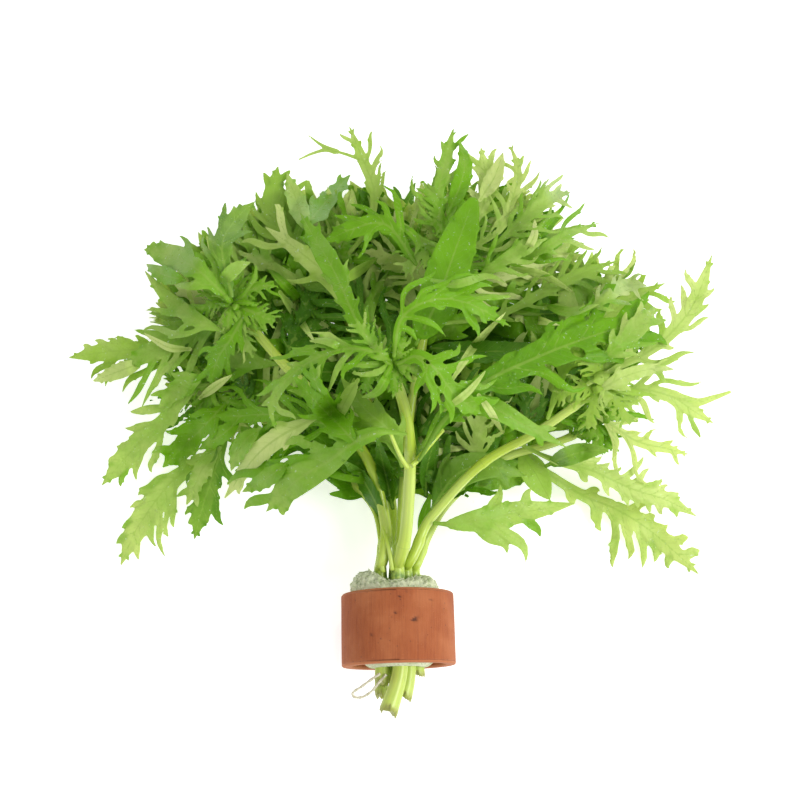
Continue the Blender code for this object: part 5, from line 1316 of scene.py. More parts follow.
def leaf_material(name, main, shade, light, vein, translucency, wetness):
    """Leaf blade: uneven green, tips paler partly as painted light, fine veins, shiny wet patches, painted
    glints.
    """
    graph = Graph(name)
    place = graph.place()
    cloud = graph.noise(place, 0.16, 3.0)
    fine = graph.noise(place, 1.3, 4.0)
    uneven = graph.maths("ADD", graph.times(cloud, 0.7), graph.times(fine, 0.3))
    level = graph.maths("MULTIPLY_ADD", uneven, 1.1, graph.value("tone"))
    # Paler towards the tips: partly the leaf's own yellowing, partly painted light shining through the thin
    # ends.
    level = graph.maths("MULTIPLY_ADD", graph.value("tip"), 0.5, level)
    colour = graph.mix(graph.span(level, -0.5, 0.7), shade, main)
    colour = graph.mix(graph.span(level, 0.7, 2.1), colour, light)
    along, across = graph.value("along"), graph.value("across")
    slanted = graph.maths("SUBTRACT", along, graph.times(across, 1.25))
    side = graph.maths("PINGPONG", slanted, 1.0)
    side_vein = graph.span(side, 0.03, 0.2, 1.0, 0.0)
    middle_vein = graph.span(graph.value("vein"), 0.5, 1.25, 1.0, 0.0)
    colour = graph.mix(graph.times(side_vein, 0.16), colour, vein)
    colour = graph.mix(graph.times(middle_vein, 0.5), colour, vein)
    relief = graph.maths("MULTIPLY_ADD", graph.noise(place, 3.0, 3.0), 0.35,
                         graph.times(side_vein, -0.5))
    relief = graph.maths("MULTIPLY_ADD", middle_vein, -0.5, relief)
    normal = graph.bump(relief, 0.55, 0.12)
    wet = graph.span(graph.noise(place, 0.3, 3.0, 0.6), 0.53 - wetness, 0.6 - wetness)
    drop = graph.times(graph.span(graph.cells(place, 0.62), 0.04, 0.34, 1.0, 0.0), wet)
    normal = graph.bump(drop, 0.5, 0.3, normal)
    # Painted highlight: small patches in the wet places are mixed towards a whitish colour as glints.
    painted_glint = graph.span(graph.noise(place, 1.2, 3.0, 0.6), 0.645, 0.70, 0.0, 0.6)
    colour = graph.mix(graph.times(painted_glint, wet), colour, (0.80, 0.90, 0.66))
    roughness = graph.maths("SUBTRACT", graph.span(fine, 0.2, 0.8, 0.34, 0.5),
                            graph.times(graph.span(drop, 0.0, 0.5), 0.3))
    graph.finish(colour, roughness, normal)
    graph.wire(graph.shader.inputs["Specular IOR Level"], graph.maths("MULTIPLY_ADD", drop, 0.5, 0.3))
    through = graph.node("ShaderNodeBsdfTranslucent")
    graph.wire(through.inputs["Color"], graph.mix(0.35, colour, (0.46, 0.70, 0.04)))
    blend = graph.node("ShaderNodeMixShader")
    blend.inputs[0].default_value = translucency
    graph.wire(blend.inputs[1], graph.shader.outputs[0])
    graph.wire(blend.inputs[2], through.outputs[0])
    graph.wire(graph.out.inputs["Surface"], blend.outputs[0])
    return graph.material


def stem_material(colour, dark, pale):
    """Stem skin: light green, striped lengthwise, darker round the joints, brown where it is cut."""
    graph = Graph("stem_skin")
    place = graph.place()
    around = graph.value("around")
    stripe = graph.maths("SINE", graph.maths("MULTIPLY_ADD", around, 7.0, graph.noise(place, 0.12)))
    cloud = graph.noise(place, 0.05, 2.0)
    base = graph.mix(graph.span(cloud, 0.35, 0.65, 0.0, 0.6), colour, pale)
    base = graph.mix(graph.times(graph.span(stripe, 0.0, 1.0), 0.14), base, dark)
    joint_line = graph.span(graph.value("joint"), 0.9, 0.99)
    base = graph.mix(graph.times(joint_line, 0.22), base, dark)
    patches = graph.span(graph.noise(place, 0.9, 3.0), 0.3, 0.6)
    collar = graph.times(graph.value("collar"), patches)
    base = graph.mix(graph.times(collar, 0.95), base, dark)
    base = graph.mix(graph.span(graph.value("cut"), 0.45, 1.0, 0.0, 0.7), base, (0.27, 0.25, 0.06))
    fleck = graph.span(graph.cells(place, 0.8), 0.0, 0.12, 1.0, 0.0)
    base = graph.mix(graph.times(fleck, 0.4), base, (0.22, 0.20, 0.05))
    relief = graph.maths("MULTIPLY_ADD", stripe, 0.2, graph.times(joint_line, -0.4))
    normal = graph.bump(relief, 0.3, 0.1)
    roughness = graph.span(cloud, 0.3, 0.7, 0.2, 0.4)
    graph.glow_within(0.3, (0.0012, 0.0016, 0.0004))
    return graph.finish(base, roughness, normal)


def clay_material(main, dark, light):
    """Fired clay: orange brown, drawn out in fine lines along the ring, with specks, and pores darkened with
    painted shade.
    """
    graph = Graph("clay_biscuit")
    place = graph.place()
    drawn = graph.place((1.0, 0.05, 1.0))
    line = graph.noise(drawn, 2.6, 4.0, 0.6)
    cloud = graph.noise(place, 0.13, 3.0)
    colour = graph.mix(graph.span(line, 0.25, 0.6), dark, main)
    colour = graph.mix(graph.span(cloud, 0.4, 0.75, 0.0, 0.4), colour, light)
    grain = graph.noise(place, 5.5, 4.0, 0.7)
    colour = graph.mix(graph.span(grain, 0.60, 0.74, 0.0, 0.35), colour, light)
    speck = graph.span(graph.cells(place, 0.62), 0.0, 0.16, 1.0, 0.0)
    colour = graph.mix(graph.times(speck, 0.75), colour, (0.07, 0.03, 0.02))
    pale = graph.span(graph.cells(graph.place((1.3, 1.0, 1.2)), 0.9), 0.0, 0.1, 1.0, 0.0)
    colour = graph.mix(graph.times(pale, 0.5), colour, (0.66, 0.34, 0.18))
    # Painted shade: the pores are coloured near black, for the shade inside them.
    colour = graph.mix(graph.times(graph.value("pore"), 0.9), colour, (0.05, 0.02, 0.015))
    edge = graph.span(graph.value("edge"), 0.2, 1.0, 0.0, 0.45)
    colour = graph.mix(edge, colour, light)
    relief = graph.maths("MULTIPLY_ADD", line, 0.9, graph.times(grain, 0.5))
    relief = graph.maths("MULTIPLY_ADD", speck, -1.0, relief)
    normal = graph.bump(relief, 0.7, 0.12)
    return graph.finish(colour, graph.span(grain, 0.3, 0.7, 0.72, 0.95), normal)


def foam_material(main, shadow):
    """Open foam: pale, crumbly, with small holes and a little dirt."""
    graph = Graph("open_foam")
    place = graph.place()
    hole = graph.cells(place, 1.3)
    fine = graph.noise(place, 2.2, 5.0, 0.75)
    colour = graph.mix(graph.span(hole, 0.0, 0.45), shadow, main)
    colour = graph.mix(graph.span(fine, 0.4, 0.7, 0.0, 0.6), colour, (0.68, 0.73, 0.54))
    damp = graph.span(graph.noise(place, 0.22, 2.0), 0.5, 0.68, 0.0, 0.55)
    colour = graph.mix(damp, colour, (0.36, 0.42, 0.20))
    dirt = graph.span(graph.noise(place, 0.8, 4.0, 0.7), 0.66, 0.74, 0.0, 0.8)
    colour = graph.mix(dirt, colour, (0.10, 0.12, 0.04))
    relief = graph.maths("MULTIPLY_ADD", fine, 0.8, hole)
    normal = graph.bump(relief, 0.7, 0.4)
    graph.glow_within(0.3, (0.002, 0.002, 0.002))
    return graph.finish(colour, graph.span(fine, 0.2, 0.8, 0.85, 1.0), normal)


def thread_material():
    """A worn pale thread."""
    graph = Graph("worn_thread")
    place = graph.place()
    fine = graph.noise(place, 3.0, 3.0)
    colour = graph.mix(graph.span(fine, 0.3, 0.7), (0.50, 0.47, 0.30), (0.78, 0.76, 0.62))
    return graph.finish(colour, graph.span(fine, 0.3, 0.7, 0.45, 0.7), graph.bump(fine, 0.4, 0.05))


def floor_material(colour, glow):
    """Matt pale floor that glows a little, like a light table."""
    graph = Graph("pale_floor")
    fine = graph.noise(graph.place(), 0.4, 3.0)
    tint = graph.mix(graph.span(fine, 0.3, 0.7), colour, [0.99 * part for part in colour])
    graph.shader.inputs["Emission Color"].default_value = (1.0, 1.0, 1.0, 1.0)
    graph.shader.inputs["Emission Strength"].default_value = glow
    return graph.finish(tint, graph.span(fine, 0.0, 1.0, 0.9, 0.95), graph.bump(fine, 0.02, 0.02))


def leaf_materials(look):
    """The three upper sides and the underside, in the order of the leaf tones."""
    rows = (("bright_blade", look.bright, look.bright_shade, look.light, 0.03),
            ("deep_blade", look.deep, look.deep_shade, look.deep_light, 0.03),
            ("pale_blade", look.pale, look.pale_shade, look.pale_light, 0.0),
            ("blade_underside", look.under, look.under_shade, look.pale_light, -0.05))
    return [bpy.data.materials.get(name)
            or leaf_material(name, main, shade, light, look.vein, look.translucency, wetness)
            for name, main, shade, light, wetness in rows]


# Round pieces


def round_mesh(name, rings, values, material, closed=False, caps=True):
    """Skin rows of points; every row is one loop of the same count. values are laid by row and column."""
    rows, sides = rings.shape[:2]
    index = np.arange(rows * sides).reshape(rows, sides)
    last = rows if closed else rows - 1
    here, there = index[:last], np.roll(index, -1, axis=0)[:last]
    faces = np.stack([here, np.roll(here, -1, axis=1), np.roll(there, -1, axis=1), there], axis=-1)
    faces = [tuple(face) for face in faces.reshape(-1, 4).tolist()]
    if caps and not closed:
        faces += [tuple(index[0][::-1].tolist()), tuple(index[-1].tolist())]
    smooth = np.array([len(face) == 4 for face in faces])
    values = {value: np.broadcast_to(numbers, (rows, sides)).ravel() for value, numbers in values.items()}
    return mesh_object(name, rings.reshape(-1, 3), faces, smooth, values, [material])


def tube_rings(line, radii, sides, ridge=0.0):
    """Rows of points round a line in space (metres)."""
    ahead = np.gradient(line, axis=0)
    ahead /= np.linalg.norm(ahead, axis=1, keepdims=True)
    across = np.cross([0.0, 0.0, 1.0], ahead[0])
    across = across if np.linalg.norm(across) > 0.1 else np.array([1.0, 0.0, 0.0])
    turn = around_axis(sides)
    rows = []
    for middle, way, radius in zip(line, ahead, radii):
        across = across - way * np.dot(across, way)
        across /= np.linalg.norm(across)
        upward = np.cross(across, way)
        wide = radius * (1 + ridge * np.cos(4 * turn))
        out = np.cos(turn)[:, None] * across + np.sin(turn)[:, None] * upward
        rows.append(middle + wide[:, None] * out)
    return np.array(rows)


def ride(piece, slot, *nodes):
    """Bind a piece to the bunch and hide the nodes that it stands for; slot is not used."""
    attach(piece, "root")
    if nodes:
        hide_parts(*nodes)
    return piece


def stem_path(stem):
    """The stem's middle line in space, from its cut end through the ring and the bunch."""
    half = RING_LENGTH / 2
    right, above = stem["ring"]
    lean = stem.get("cut_lean", 0.0)
    held = [ring_frame(right + lean, -half - stem["cut"], above), ring_frame(right, -half - 1.5, above),
            ring_frame(right, 0.0, above), ring_frame(right, half + FOAM_PROUD + 1.0, above)]
    lay = Lay(stem["name"], STEM_GIVE)
    last = on_plan(held[-1])
    dense = smooth_way([(last[0], last[1])] + stem["way"], 8)[1:]
    level = lay.height(dense)
    soften(level, 60)
    free = in_space(dense[:, 0], dense[:, 1], level)
    smooth = smooth_way(np.vstack([np.array(held), free]), 3)
    run = run_along(smooth)
    spots = np.arange(0.0, run[-1], STEM_STEP * MM)
    line = read_line(spots, run, smooth)
    soften(line, 6)
    return line, spots / MM


def stem_joints(run, cut):
    """Places of the swollen joints along the free part of a stem."""
    even = [cut + RING_LENGTH + FOAM_PROUD + JOINT_STEP * (0.75 + count) for count in range(MOST_JOINTS)]
    return [place + 1.5 * math.sin(3.1 * count + run) for count, place in enumerate(even)
            if place < run - 4.0]


# Settings


class LeafSettings(bpy.types.PropertyGroup):
    """Sizes and colours of the leaves."""

    thickness: bpy.props.FloatProperty(name="Thickness", description="Thickness of a leaf blade",
                                       default=0.00026, unit="LENGTH", subtype="DISTANCE")
    cell: bpy.props.FloatProperty(name="Cell", description="Spacing of the points in a leaf blade",
                                  default=0.00042, unit="LENGTH", subtype="DISTANCE")
    translucency: bpy.props.FloatProperty(name="Translucency", description="Share of light let through",
                                          default=0.42, min=0.0, max=1.0, subtype="FACTOR")
    bright: bpy.props.FloatVectorProperty(name="Bright", description="Upper side of a fresh leaf", size=3,
                                          default=(0.215, 0.49, 0.01), subtype="COLOR")
    bright_shade: bpy.props.FloatVectorProperty(name="Bright shade", description="Its darker parts", size=3,
                                                default=(0.085, 0.27, 0.004), subtype="COLOR")
    deep: bpy.props.FloatVectorProperty(name="Deep", description="Upper side of an old leaf", size=3,
                                        default=(0.1, 0.28, 0.01), subtype="COLOR")
    deep_shade: bpy.props.FloatVectorProperty(name="Deep shade", description="Its darker parts", size=3,
                                              default=(0.028, 0.1, 0.003), subtype="COLOR")
    pale: bpy.props.FloatVectorProperty(name="Pale", description="A thin or turned leaf", size=3,
                                        default=(0.42, 0.63, 0.075), subtype="COLOR")
    pale_shade: bpy.props.FloatVectorProperty(name="Pale shade", description="Its darker parts", size=3,
                                              default=(0.21, 0.38, 0.025), subtype="COLOR")
    under: bpy.props.FloatVectorProperty(name="Underside", description="Underside of a leaf", size=3,
                                         default=(0.44, 0.67, 0.085), subtype="COLOR")
    under_shade: bpy.props.FloatVectorProperty(name="Underside shade", description="Its darker parts",
                                               size=3, default=(0.22, 0.42, 0.028), subtype="COLOR")
    # The three light colours are the paler ends of the leaves: partly their own colour, partly painted light
    # shining through thin parts.
    light: bpy.props.FloatVectorProperty(name="Light", description="Thin and pale parts of fresh leaves",
                                         size=3, default=(0.7, 0.8, 0.26), subtype="COLOR")
    deep_light: bpy.props.FloatVectorProperty(name="Deep light",
                                              description="Thin and pale parts of old leaves", size=3,
                                              default=(0.36, 0.56, 0.08), subtype="COLOR")
    pale_light: bpy.props.FloatVectorProperty(name="Pale light", description="Thin parts of pale leaves",
                                              size=3, default=(0.8, 0.87, 0.36), subtype="COLOR")
    vein: bpy.props.FloatVectorProperty(name="Veins", description="Midribs and veins", size=3,
                                        default=(0.4, 0.58, 0.1), subtype="COLOR")


class StemSettings(bpy.types.PropertyGroup):
    """Sizes and colours of the stems."""

    swelling: bpy.props.FloatProperty(name="Swelling", description="How much a joint is thicker",
                                      default=0.13, min=0.0, max=1.0, subtype="FACTOR")
    green: bpy.props.FloatVectorProperty(name="Green", description="Stem skin", size=3,
                                         default=(0.465, 0.615, 0.05), subtype="COLOR")
    pale: bpy.props.FloatVectorProperty(name="Pale", description="Light streaks", size=3,
                                        default=(0.56, 0.68, 0.19), subtype="COLOR")
    dark: bpy.props.FloatVectorProperty(name="Dark", description="Joints and collars", size=3,
                                        default=(0.13, 0.26, 0.04), subtype="COLOR")


class HolderSettings(bpy.types.PropertyGroup):
    """Sizes and colours of the ring, the foam and the thread."""

    clay: bpy.props.FloatVectorProperty(name="Clay", description="Fired clay", size=3,
                                        default=(0.345, 0.088, 0.0225), subtype="COLOR")
    clay_dark: bpy.props.FloatVectorProperty(name="Dark clay", description="Its darker lines", size=3,
                                             default=(0.27, 0.062, 0.016), subtype="COLOR")
    clay_light: bpy.props.FloatVectorProperty(name="Light clay", description="Rubbed places", size=3,
                                              default=(0.53, 0.19, 0.07), subtype="COLOR")
    foam: bpy.props.FloatVectorProperty(name="Foam", description="Foam wrap", size=3,
                                        default=(0.66, 0.69, 0.46), subtype="COLOR")
    foam_shadow: bpy.props.FloatVectorProperty(name="Foam holes", description="Inside of its holes", size=3,
                                               default=(0.36, 0.4, 0.23), subtype="COLOR")


class StageSettings(bpy.types.PropertyGroup):
    """Floor and light."""

    floor: bpy.props.FloatVectorProperty(name="Floor", description="Floor colour", size=3,
                                         default=(0.93, 0.93, 0.93), subtype="COLOR")
    glow: bpy.props.FloatProperty(name="Glow", description="Light that the floor gives off itself",
                                  default=0.5, min=0.0)
    sky: bpy.props.FloatProperty(name="Sky", description="Strength of the light from all round",
                                 default=0.66, min=0.0)
    key: bpy.props.FloatProperty(name="Key light", description="Power of the large soft light",
                                 default=3.25, min=0.0, unit="POWER")


# Operators


class BUNCH_OT_clay_ring(bpy.types.Operator):
    """Turn the clay ring, with its pores and worn edges"""

    bl_idname = "bunch.clay_ring"
    bl_label = "Clay Ring"

    def execute(self, context):
        look = context.scene.bunch_holder
        material = clay_material(look.clay, look.clay_dark, look.clay_light)
        half, inner, worn = RING_LENGTH / 2, RING_RADIUS - RING_WALL, RING_CHAMFER

        def corner(radius, along, start):
            """A quarter turn round a worn edge, from an angle in degrees."""
            return [(radius + worn * math.cos(turn), along + worn * math.sin(turn), 1.0)
                    for turn in np.radians(np.linspace(start, start + 90.0, 5))]

        outline = [(AXIS_HEIGHT, along, 0.0) for along in np.linspace(worn - half, half - worn, 48)]
        outline += corner(AXIS_HEIGHT - worn, half - worn, 0.0) + corner(inner + worn, half - worn, 90.0)
        outline += [(inner, along, 0.0) for along in np.linspace(half - 0.6, 0.6 - half, 8)]
        outline += corner(inner + worn, worn - half, 180.0) + corner(AXIS_HEIGHT - worn, worn - half, 270.0)
        outline = np.array(outline)
        radius, angle = np.meshgrid(outline[:, 0], around_axis(RING_SIDES), indexing="ij")
        along = np.broadcast_to(outline[:, 1][:, None], radius.shape)
        uneven = 0.045 * (np.sin(3 * angle + 0.4) + 0.5 * np.sin(7 * angle + along * 0.3))
        outer = radius > AXIS_HEIGHT - 0.1
        right, above = radius * np.cos(angle), radius * np.sin(angle)
        pore = np.zeros(radius.shape)
        for place_right, place_along, wide, long, lean in PORES:
            x = (right - place_right) * math.cos(lean) + (along - place_along) * math.sin(lean)
            y = (along - place_along) * math.cos(lean) - (right - place_right) * math.sin(lean)
            y = y - 0.35 * x ** 2 * (wide > 0.5)
            pit = np.clip(1.25 - (x / wide) ** 2 - (y / long) ** 2, 0.0, 1.0)
            pore = np.maximum(pore, pit * outer * (above > 0))
        radius = radius - 0.06 + np.minimum(uneven, 0.05) - PORE_DEPTH * pore
        rings = ring_frame(radius * np.cos(angle), along, radius * np.sin(angle))
        edge = np.broadcast_to(outline[:, 2][:, None], radius.shape)
        ring = round_mesh("fired_ring", rings, {"pore": pore, "edge": edge}, material, closed=True)
        ride(ring, "fired_clay", "clay_ring")
        return {"FINISHED"}


class BUNCH_OT_foam(bpy.types.Operator):
    """Swell the foam out of the ring and close it round the stems"""

    bl_idname = "bunch.foam"
    bl_label = "Foam Wrap"

    def execute(self, context):
        look = context.scene.bunch_holder
        material = foam_material(look.foam, look.foam_shadow)
        half, inside = RING_LENGTH / 2, RING_RADIUS - RING_WALL - 0.2
        profile = smooth_way([(1.2, -half + 1.6), (4.0, -half + 0.1), (6.5, -half - 0.3),
                              (inside - 2.0, -half + 1.2), (inside - 0.3, -half + 3.0), (inside, 0.0),
                              (inside, half - 0.3), (inside - 0.4, half + 1.6),
                              (inside - 1.8, half + 3.7), (inside - 3.9, half + 4.8),
                              (5.0, half + 4.4), (2.6, half + 3.0), (1.2, half + 2.0)], 7)
        radius, angle = np.meshgrid(profile[:, 0], around_axis(FOAM_SIDES), indexing="ij")
        along = np.broadcast_to(profile[:, 1][:, None], radius.shape).copy()
        lump = sum(np.sin(count * angle + phase + 0.55 * count * along / 3.0) / count ** 0.6
                   for count, phase in ((3, 0.4), (5, 2.1), (9, 1.0), (14, 4.0), (23, 0.2)))
        crumb = np.sin(31 * angle + 5 * along) * np.sin(17 * angle - 6 * along)
        grain = np.random.default_rng(FOAM_SEED).normal(0.0, 1.0, radius.shape)
        grain = (grain + np.roll(grain, 1, 0) + np.roll(grain, 1, 1) + np.roll(grain, (1, 1), (0, 1))) / 2.0
        proud = np.clip((along - half) / 1.5, 0.0, 1.0)
        radius = radius + proud * (0.22 * lump + 0.14 * crumb + 0.17 * grain)
        right = radius * np.cos(angle) - 0.5 * proud
        along += proud * (0.34 * np.roll(lump, 23, axis=1) + 0.18 * crumb + 0.2 * grain - 0.07 * right)
        front = np.clip(np.sin(angle), 0.0, 1.0) ** 0.5 * np.exp(-((right - 0.5) / 5.6) ** 4)
        along -= proud * 2.3 * front
        rings = ring_frame(right, along, radius * np.sin(angle))
        foam = round_mesh("foam_swelling", rings, {}, material, caps=False)
        ride(foam, "foam", "foam_wrap")
        return {"FINISHED"}


class BUNCH_OT_thread(bpy.types.Operator):
    """Hang the thin thread loop out under the ring"""

    bl_idname = "bunch.thread"
    bl_label = "Thread Loop"

    def execute(self, context):
        smooth = smooth_way(THREAD_WAY, 9)
        line = in_space(smooth[:, 0], smooth[:, 1], smooth[:, 2])
        thin = THREAD_RADIUS + 0.05 * np.sin(np.arange(len(line)) * 0.9)
        loop = round_mesh("worn_loop", tube_rings(line, thin * MM, THREAD_SIDES), {}, thread_material())
        ride(loop, "thread", "thread_loop")
        return {"FINISHED"}


class BUNCH_OT_stems(bpy.types.Operator):
    """Draw the stems with their swollen joints and torn ends"""

    bl_idname = "bunch.stems"
    bl_label = "Stems"

    def execute(self, context):
        look = context.scene.bunch_stem
        skin = stem_material(look.green, look.dark, look.pale)
        for stem in STEMS:
            line, run = stem_path(stem)
            joints = stem_joints(run[-1], stem["cut"])
            share = run / run[-1]
            joint = sum(np.exp(-((run - place) / 1.1) ** 2) for place in joints[::2]) if joints else 0 * run
            radii = stem["radius"] * (1.0 - 0.3 * share) * (1.0 + look.swelling * joint)
            radii[-6:] *= np.linspace(1.0, 0.25, 6)
            free = stem["cut"] + RING_LENGTH + FOAM_PROUD
            collar = np.exp(-((run - free + 0.9) / 1.5) ** 2)
            radii *= 1.0 + 0.3 * np.exp(-run / 5.0) + 0.1 * collar
            cut = np.clip(1.0 - run / 4.0, 0.0, 1.0)
            rings = tube_rings(line, radii * MM, STEM_SIDES, STEM_RIDGE)
            turn = around_axis(STEM_SIDES)
            ahead = (line[1] - line[0]) / np.linalg.norm(line[1] - line[0])
            torn = 0.9 * np.sin(2 * turn + len(stem["name"])) + 0.5 * np.sin(5 * turn + 2.0)
            torn = torn + 0.55 * np.sin(11 * turn) + 0.4 * (np.arange(STEM_SIDES) % 2)
            for row, part in enumerate((1.0, 0.6, 0.25)):
                rings[row] += (torn * part * MM * 0.9)[:, None] * ahead
            rings[0] = rings[0] + (0.12 + 0.2 * np.sin(4 * turn) ** 2)[:, None] * (line[0] - rings[0])
            around = np.broadcast_to(turn, rings.shape[:2])
            piece = round_mesh(piece_name(stem["name"]), rings,
                               {"around": around, "joint": joint[:, None],
                                "collar": collar[:, None], "cut": cut[:, None]}, skin)
            ride(piece, "stem_green", stem["name"])
        return {"FINISHED"}


class BUNCH_OT_leaves(bpy.types.Operator):
    """Cut the grown leaves out and lay each one where its solid lies"""

    bl_idname = "bunch.leaves"
    bl_label = "Grown Leaves"

    def execute(self, context):
        look = context.scene.bunch_leaf
        materials = leaf_materials(look)
        for leaf in LEAVES:
            lay = Lay(leaf["name"])
            heap = Heap()
            add_leaf(heap, leaf, lay.height, look.cell / MM, look.thickness / MM)
            piece = heap.piece(piece_name(leaf["name"]), materials)
            ride(piece, "leaf_" + leaf.get("slot", leaf["tone"]), leaf["name"])
        return {"FINISHED"}


class BUNCH_OT_shoot_tips(bpy.types.Operator):
    """Crowd young leaves on each shoot tip"""

    bl_idname = "bunch.shoot_tips"
    bl_label = "Shoot Tips"

    def execute(self, context):
        look = context.scene.bunch_leaf
        materials = leaf_materials(look)
        for tuft in TUFTS:
            chance = np.random.default_rng(seed_of(tuft["name"]))
            middle = np.array(tuft["middle"], float)
            heap = Heap()
            for count, tip in enumerate(tuft["tips"]):
                full = 0.4 if count in tuft.get("short", ()) else 1.0
                for part, drop in ((full, 0.0), (chance.uniform(0.5, 0.85) * full, -1.6), (0.45, 1.6)):
                    end = middle + part * (np.array(tip, float) - middle)
                    end[:2] += chance.normal(0, 2.2 if part < 1 else 0.4, 2)
                    end[2] += drop
                    slender = chance.random() < 0.35
                    shade = chance.normal(tuft.get("shade", 0.1), 0.3)
                    shape = dict(tone=tuft["tone"], shade=shade, arch=chance.uniform(0.8, 2.6),
                                 blade=0.038, lobe=0.048, reach=0.0 if slender else 0.36,
                                 lobes=0 if slender else 4, broad=slender)
                    leaf, height = young_leaf(f"{tuft['name']}{count}{part}", middle + (0, 0, drop), end,
                                              chance.uniform(-0.2, 0.2), shape)
                    add_leaf(heap, leaf, height, YOUNG_COARSER * look.cell / MM, look.thickness / MM)
            piece = heap.piece(piece_name(tuft["name"]), materials)
            ride(piece, "leaf_bright", tuft["name"])
        return {"FINISHED"}


class BUNCH_OT_inner_leaves(bpy.types.Operator):
    """Fill the inside of the bunch with the leaves that grow in pairs from the joints of the stems"""

    bl_idname = "bunch.inner_leaves"
    bl_label = "Inner Leaves"

    def execute(self, context):
        look = context.scene.bunch_leaf
        thicket = Thicket(look)
        feet = []
        for stem in STEMS:
            chance = np.random.default_rng(seed_of(stem["name"]) + JOINT_SEED)
            line, run = stem_path(stem)
            for joint in stem_joints(run[-1], stem["cut"])[1:]:
                row = int(np.searchsorted(run, joint))
                here = np.array(on_plan(line[row]))
                ahead = np.array(on_plan(line[min(row + 5, len(line) - 1)]))[:2] - here[:2]
                heading = math.atan2(ahead[1], ahead[0])
                feet.append((stem["name"], here))
                for turn in JOINT_TURNS:
                    angle = heading + turn + chance.normal(0, 0.22)
                    way = np.array([math.cos(angle), math.sin(angle)])
                    length = chance.uniform(*INNER_LENGTHS)
                    while length > SHORTEST and not within(here[:2] + length * way, DENSE):
                        length -= 2.0
                    if length > SHORTEST:
                        thicket.sow(stem["name"], f"{joint:.0f}{turn}", here, here[:2] + length * way,
                                    chance, chance.uniform(0.45, 0.95))
        thicket.grow()
        chance = np.random.default_rng(FILLER_SEED)
        for count in range(MOST_FILLERS):
            spot = thicket.thinnest()
            if spot is None:
                break
            name, foot = min(feet, key=lambda row: abs(np.linalg.norm(row[1][:2] - spot) - FILLER_LENGTH))
            way = spot - foot[:2]
            ends = [spot + past * way / np.linalg.norm(way) for past in FILLER_PAST]
            end = next((place for place in ends if within(place, DENSE)), ends[-1])
            thicket.sow(name, f"filler{count}", foot, end, chance, FILLER_RISE,
                        FILLER if count % 3 else None)
            thicket.grow()
        for name, heap in thicket.heaps.items():
            if heap.count:
                piece = heap.piece(piece_name(name, "joint_leaves"), leaf_materials(look))
                ride(piece, "leaf_deep")
        return {"FINISHED"}


class BUNCH_OT_slips(bpy.types.Operator):
    """Lay the slender leaves and bare petioles that lie on top of the bunch"""

    bl_idname = "bunch.slips"
    bl_label = "Slips"

    def execute(self, context):
        look = context.scene.bunch_leaf
        under = [body.name for body in bpy.data.objects if body.name.endswith(("_leaf", "_tuft", "_stem"))]
        blanket = Relief(under, lowest=False).as_blanket()
        heap = Heap()
        for count, slip in enumerate(SLIPS):
            leaf = dict(SLIP_DEFAULTS, name=f"slip{count}")
            leaf.update(slip)
            add_leaf(heap, leaf, slip_height(slip, blanket), look.cell / MM, look.thickness / MM)
        ride(heap.piece("slender_leaves", leaf_materials(look)), "leaf_pale")
        skin = bpy.data.materials["stem_skin"]
        for count, petiole in enumerate(PETIOLES):
            way = smooth_way(petiole["way"], 10)
            line = in_space(way[:, 0], way[:, 1], blanket.height(way) - 0.8)
            soften(line, 12)
            radii = petiole["radius"] * np.linspace(1.15, 0.8, len(line)) * MM
            rings = tube_rings(line, radii, PETIOLE_SIDES)
            around = np.broadcast_to(around_axis(PETIOLE_SIDES), rings.shape[:2])
            tube = round_mesh(f"petiole_{count + 1}", rings, {"around": around}, skin)
            ride(tube, "stem_green")
        return {"FINISHED"}


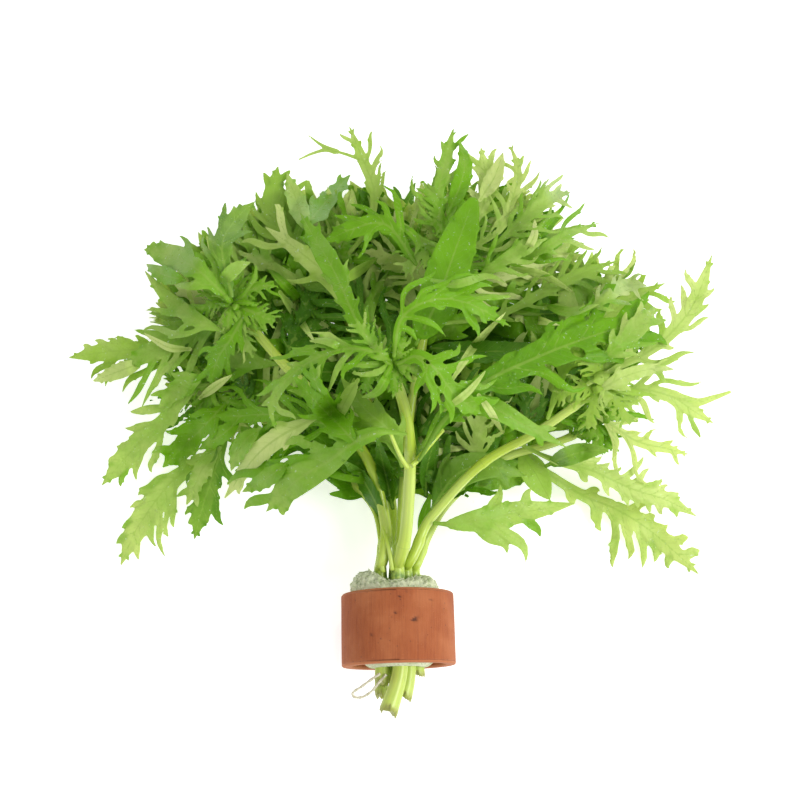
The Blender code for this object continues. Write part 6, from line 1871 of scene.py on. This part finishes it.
class BUNCH_OT_stage(bpy.types.Operator):
    """Lay the pale floor, and set the soft light and the camera"""

    bl_idname = "bunch.stage"
    bl_label = "Stage"

    def execute(self, context):
        look = context.scene.bunch_stage
        corners = FLOOR_HALF * np.array([(-1, -1, 0), (1, -1, 0), (1, 1, 0), (-1, 1, 0)])
        floor = mesh_object("floor", corners, [(0, 1, 2, 3)], np.array([False]), {},
                            [floor_material(look.floor, look.glow)])

        world = bpy.data.worlds.new("soft_sky")
        world.use_nodes = True
        sky = world.node_tree.nodes["Background"]
        sky.inputs["Color"].default_value = (1.0, 1.0, 1.0, 1.0)
        sky.inputs["Strength"].default_value = look.sky
        context.scene.world = world

        for name, place, share, wide in LAMPS:
            lamp = bpy.data.lights.new(name, "AREA")
            lamp.energy = look.key * share
            lamp.size = wide
            body = bpy.data.objects.new(name, lamp)
            body.location = place
            body.rotation_euler = (-Vector(place)).to_track_quat("-Z", "Y").to_euler()
            context.collection.objects.link(body)

        lens = bpy.data.cameras.new("eye")
        lens.lens = LENS
        lens.sensor_width = SENSOR
        lens.clip_start = 0.01
        camera = bpy.data.objects.new("eye", lens)
        camera.location = (-FOOTPRINT_MIDDLE[0] * MM,
                           (-EYE_DISTANCE * math.sin(EYE_TILT) - FOOTPRINT_MIDDLE[1]) * MM,
                           (AXIS_HEIGHT + EYE_DISTANCE * math.cos(EYE_TILT)) * MM)
        camera.rotation_euler = (EYE_TILT, 0.0, 0.0)
        context.collection.objects.link(camera)
        context.scene.camera = camera
        context.scene.view_settings.view_transform = "Standard"
        return {"FINISHED"}


class BUNCH_PT_panel(bpy.types.Panel):
    """Lists the pieces of the bunch with their settings"""

    bl_label = "Water Wisteria Bunch"
    bl_idname = "BUNCH_PT_panel"
    bl_space_type = "VIEW_3D"
    bl_region_type = "UI"
    bl_category = "Wisteria"

    def draw(self, context):
        scene = context.scene
        for settings in (scene.bunch_leaf, scene.bunch_stem, scene.bunch_holder, scene.bunch_stage):
            box = self.layout.box()
            for name in settings.__annotations__:
                box.prop(settings, name)
        for operator in OPERATORS:
            self.layout.operator(operator.bl_idname)


OPERATORS = (BUNCH_OT_clay_ring, BUNCH_OT_foam, BUNCH_OT_thread, BUNCH_OT_stems, BUNCH_OT_leaves,
             BUNCH_OT_shoot_tips, BUNCH_OT_inner_leaves, BUNCH_OT_slips, BUNCH_OT_stage)
SETTINGS = (("bunch_leaf", LeafSettings), ("bunch_stem", StemSettings), ("bunch_holder", HolderSettings),
            ("bunch_stage", StageSettings))


def register():
    """Make the settings, operators and panel known to Blender."""
    for name, settings in SETTINGS:
        bpy.utils.register_class(settings)
        setattr(bpy.types.Scene, name, bpy.props.PointerProperty(type=settings))
    for part in OPERATORS + (BUNCH_PT_panel,):
        bpy.utils.register_class(part)


def unregister():
    """Take them all out again."""
    for part in reversed(OPERATORS + (BUNCH_PT_panel,)):
        bpy.utils.unregister_class(part)
    for name, settings in reversed(SETTINGS):
        delattr(bpy.types.Scene, name)
        bpy.utils.unregister_class(settings)


def main():
    """Make every piece in order."""
    register()
    bpy.ops.bunch.clay_ring()
    bpy.ops.bunch.foam()
    bpy.ops.bunch.thread()
    bpy.ops.bunch.stems()
    bpy.ops.bunch.leaves()
    bpy.ops.bunch.shoot_tips()
    bpy.ops.bunch.inner_leaves()
    bpy.ops.bunch.slips()
    bpy.ops.bunch.stage()
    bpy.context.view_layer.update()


if __name__ == "__main__":
    main()
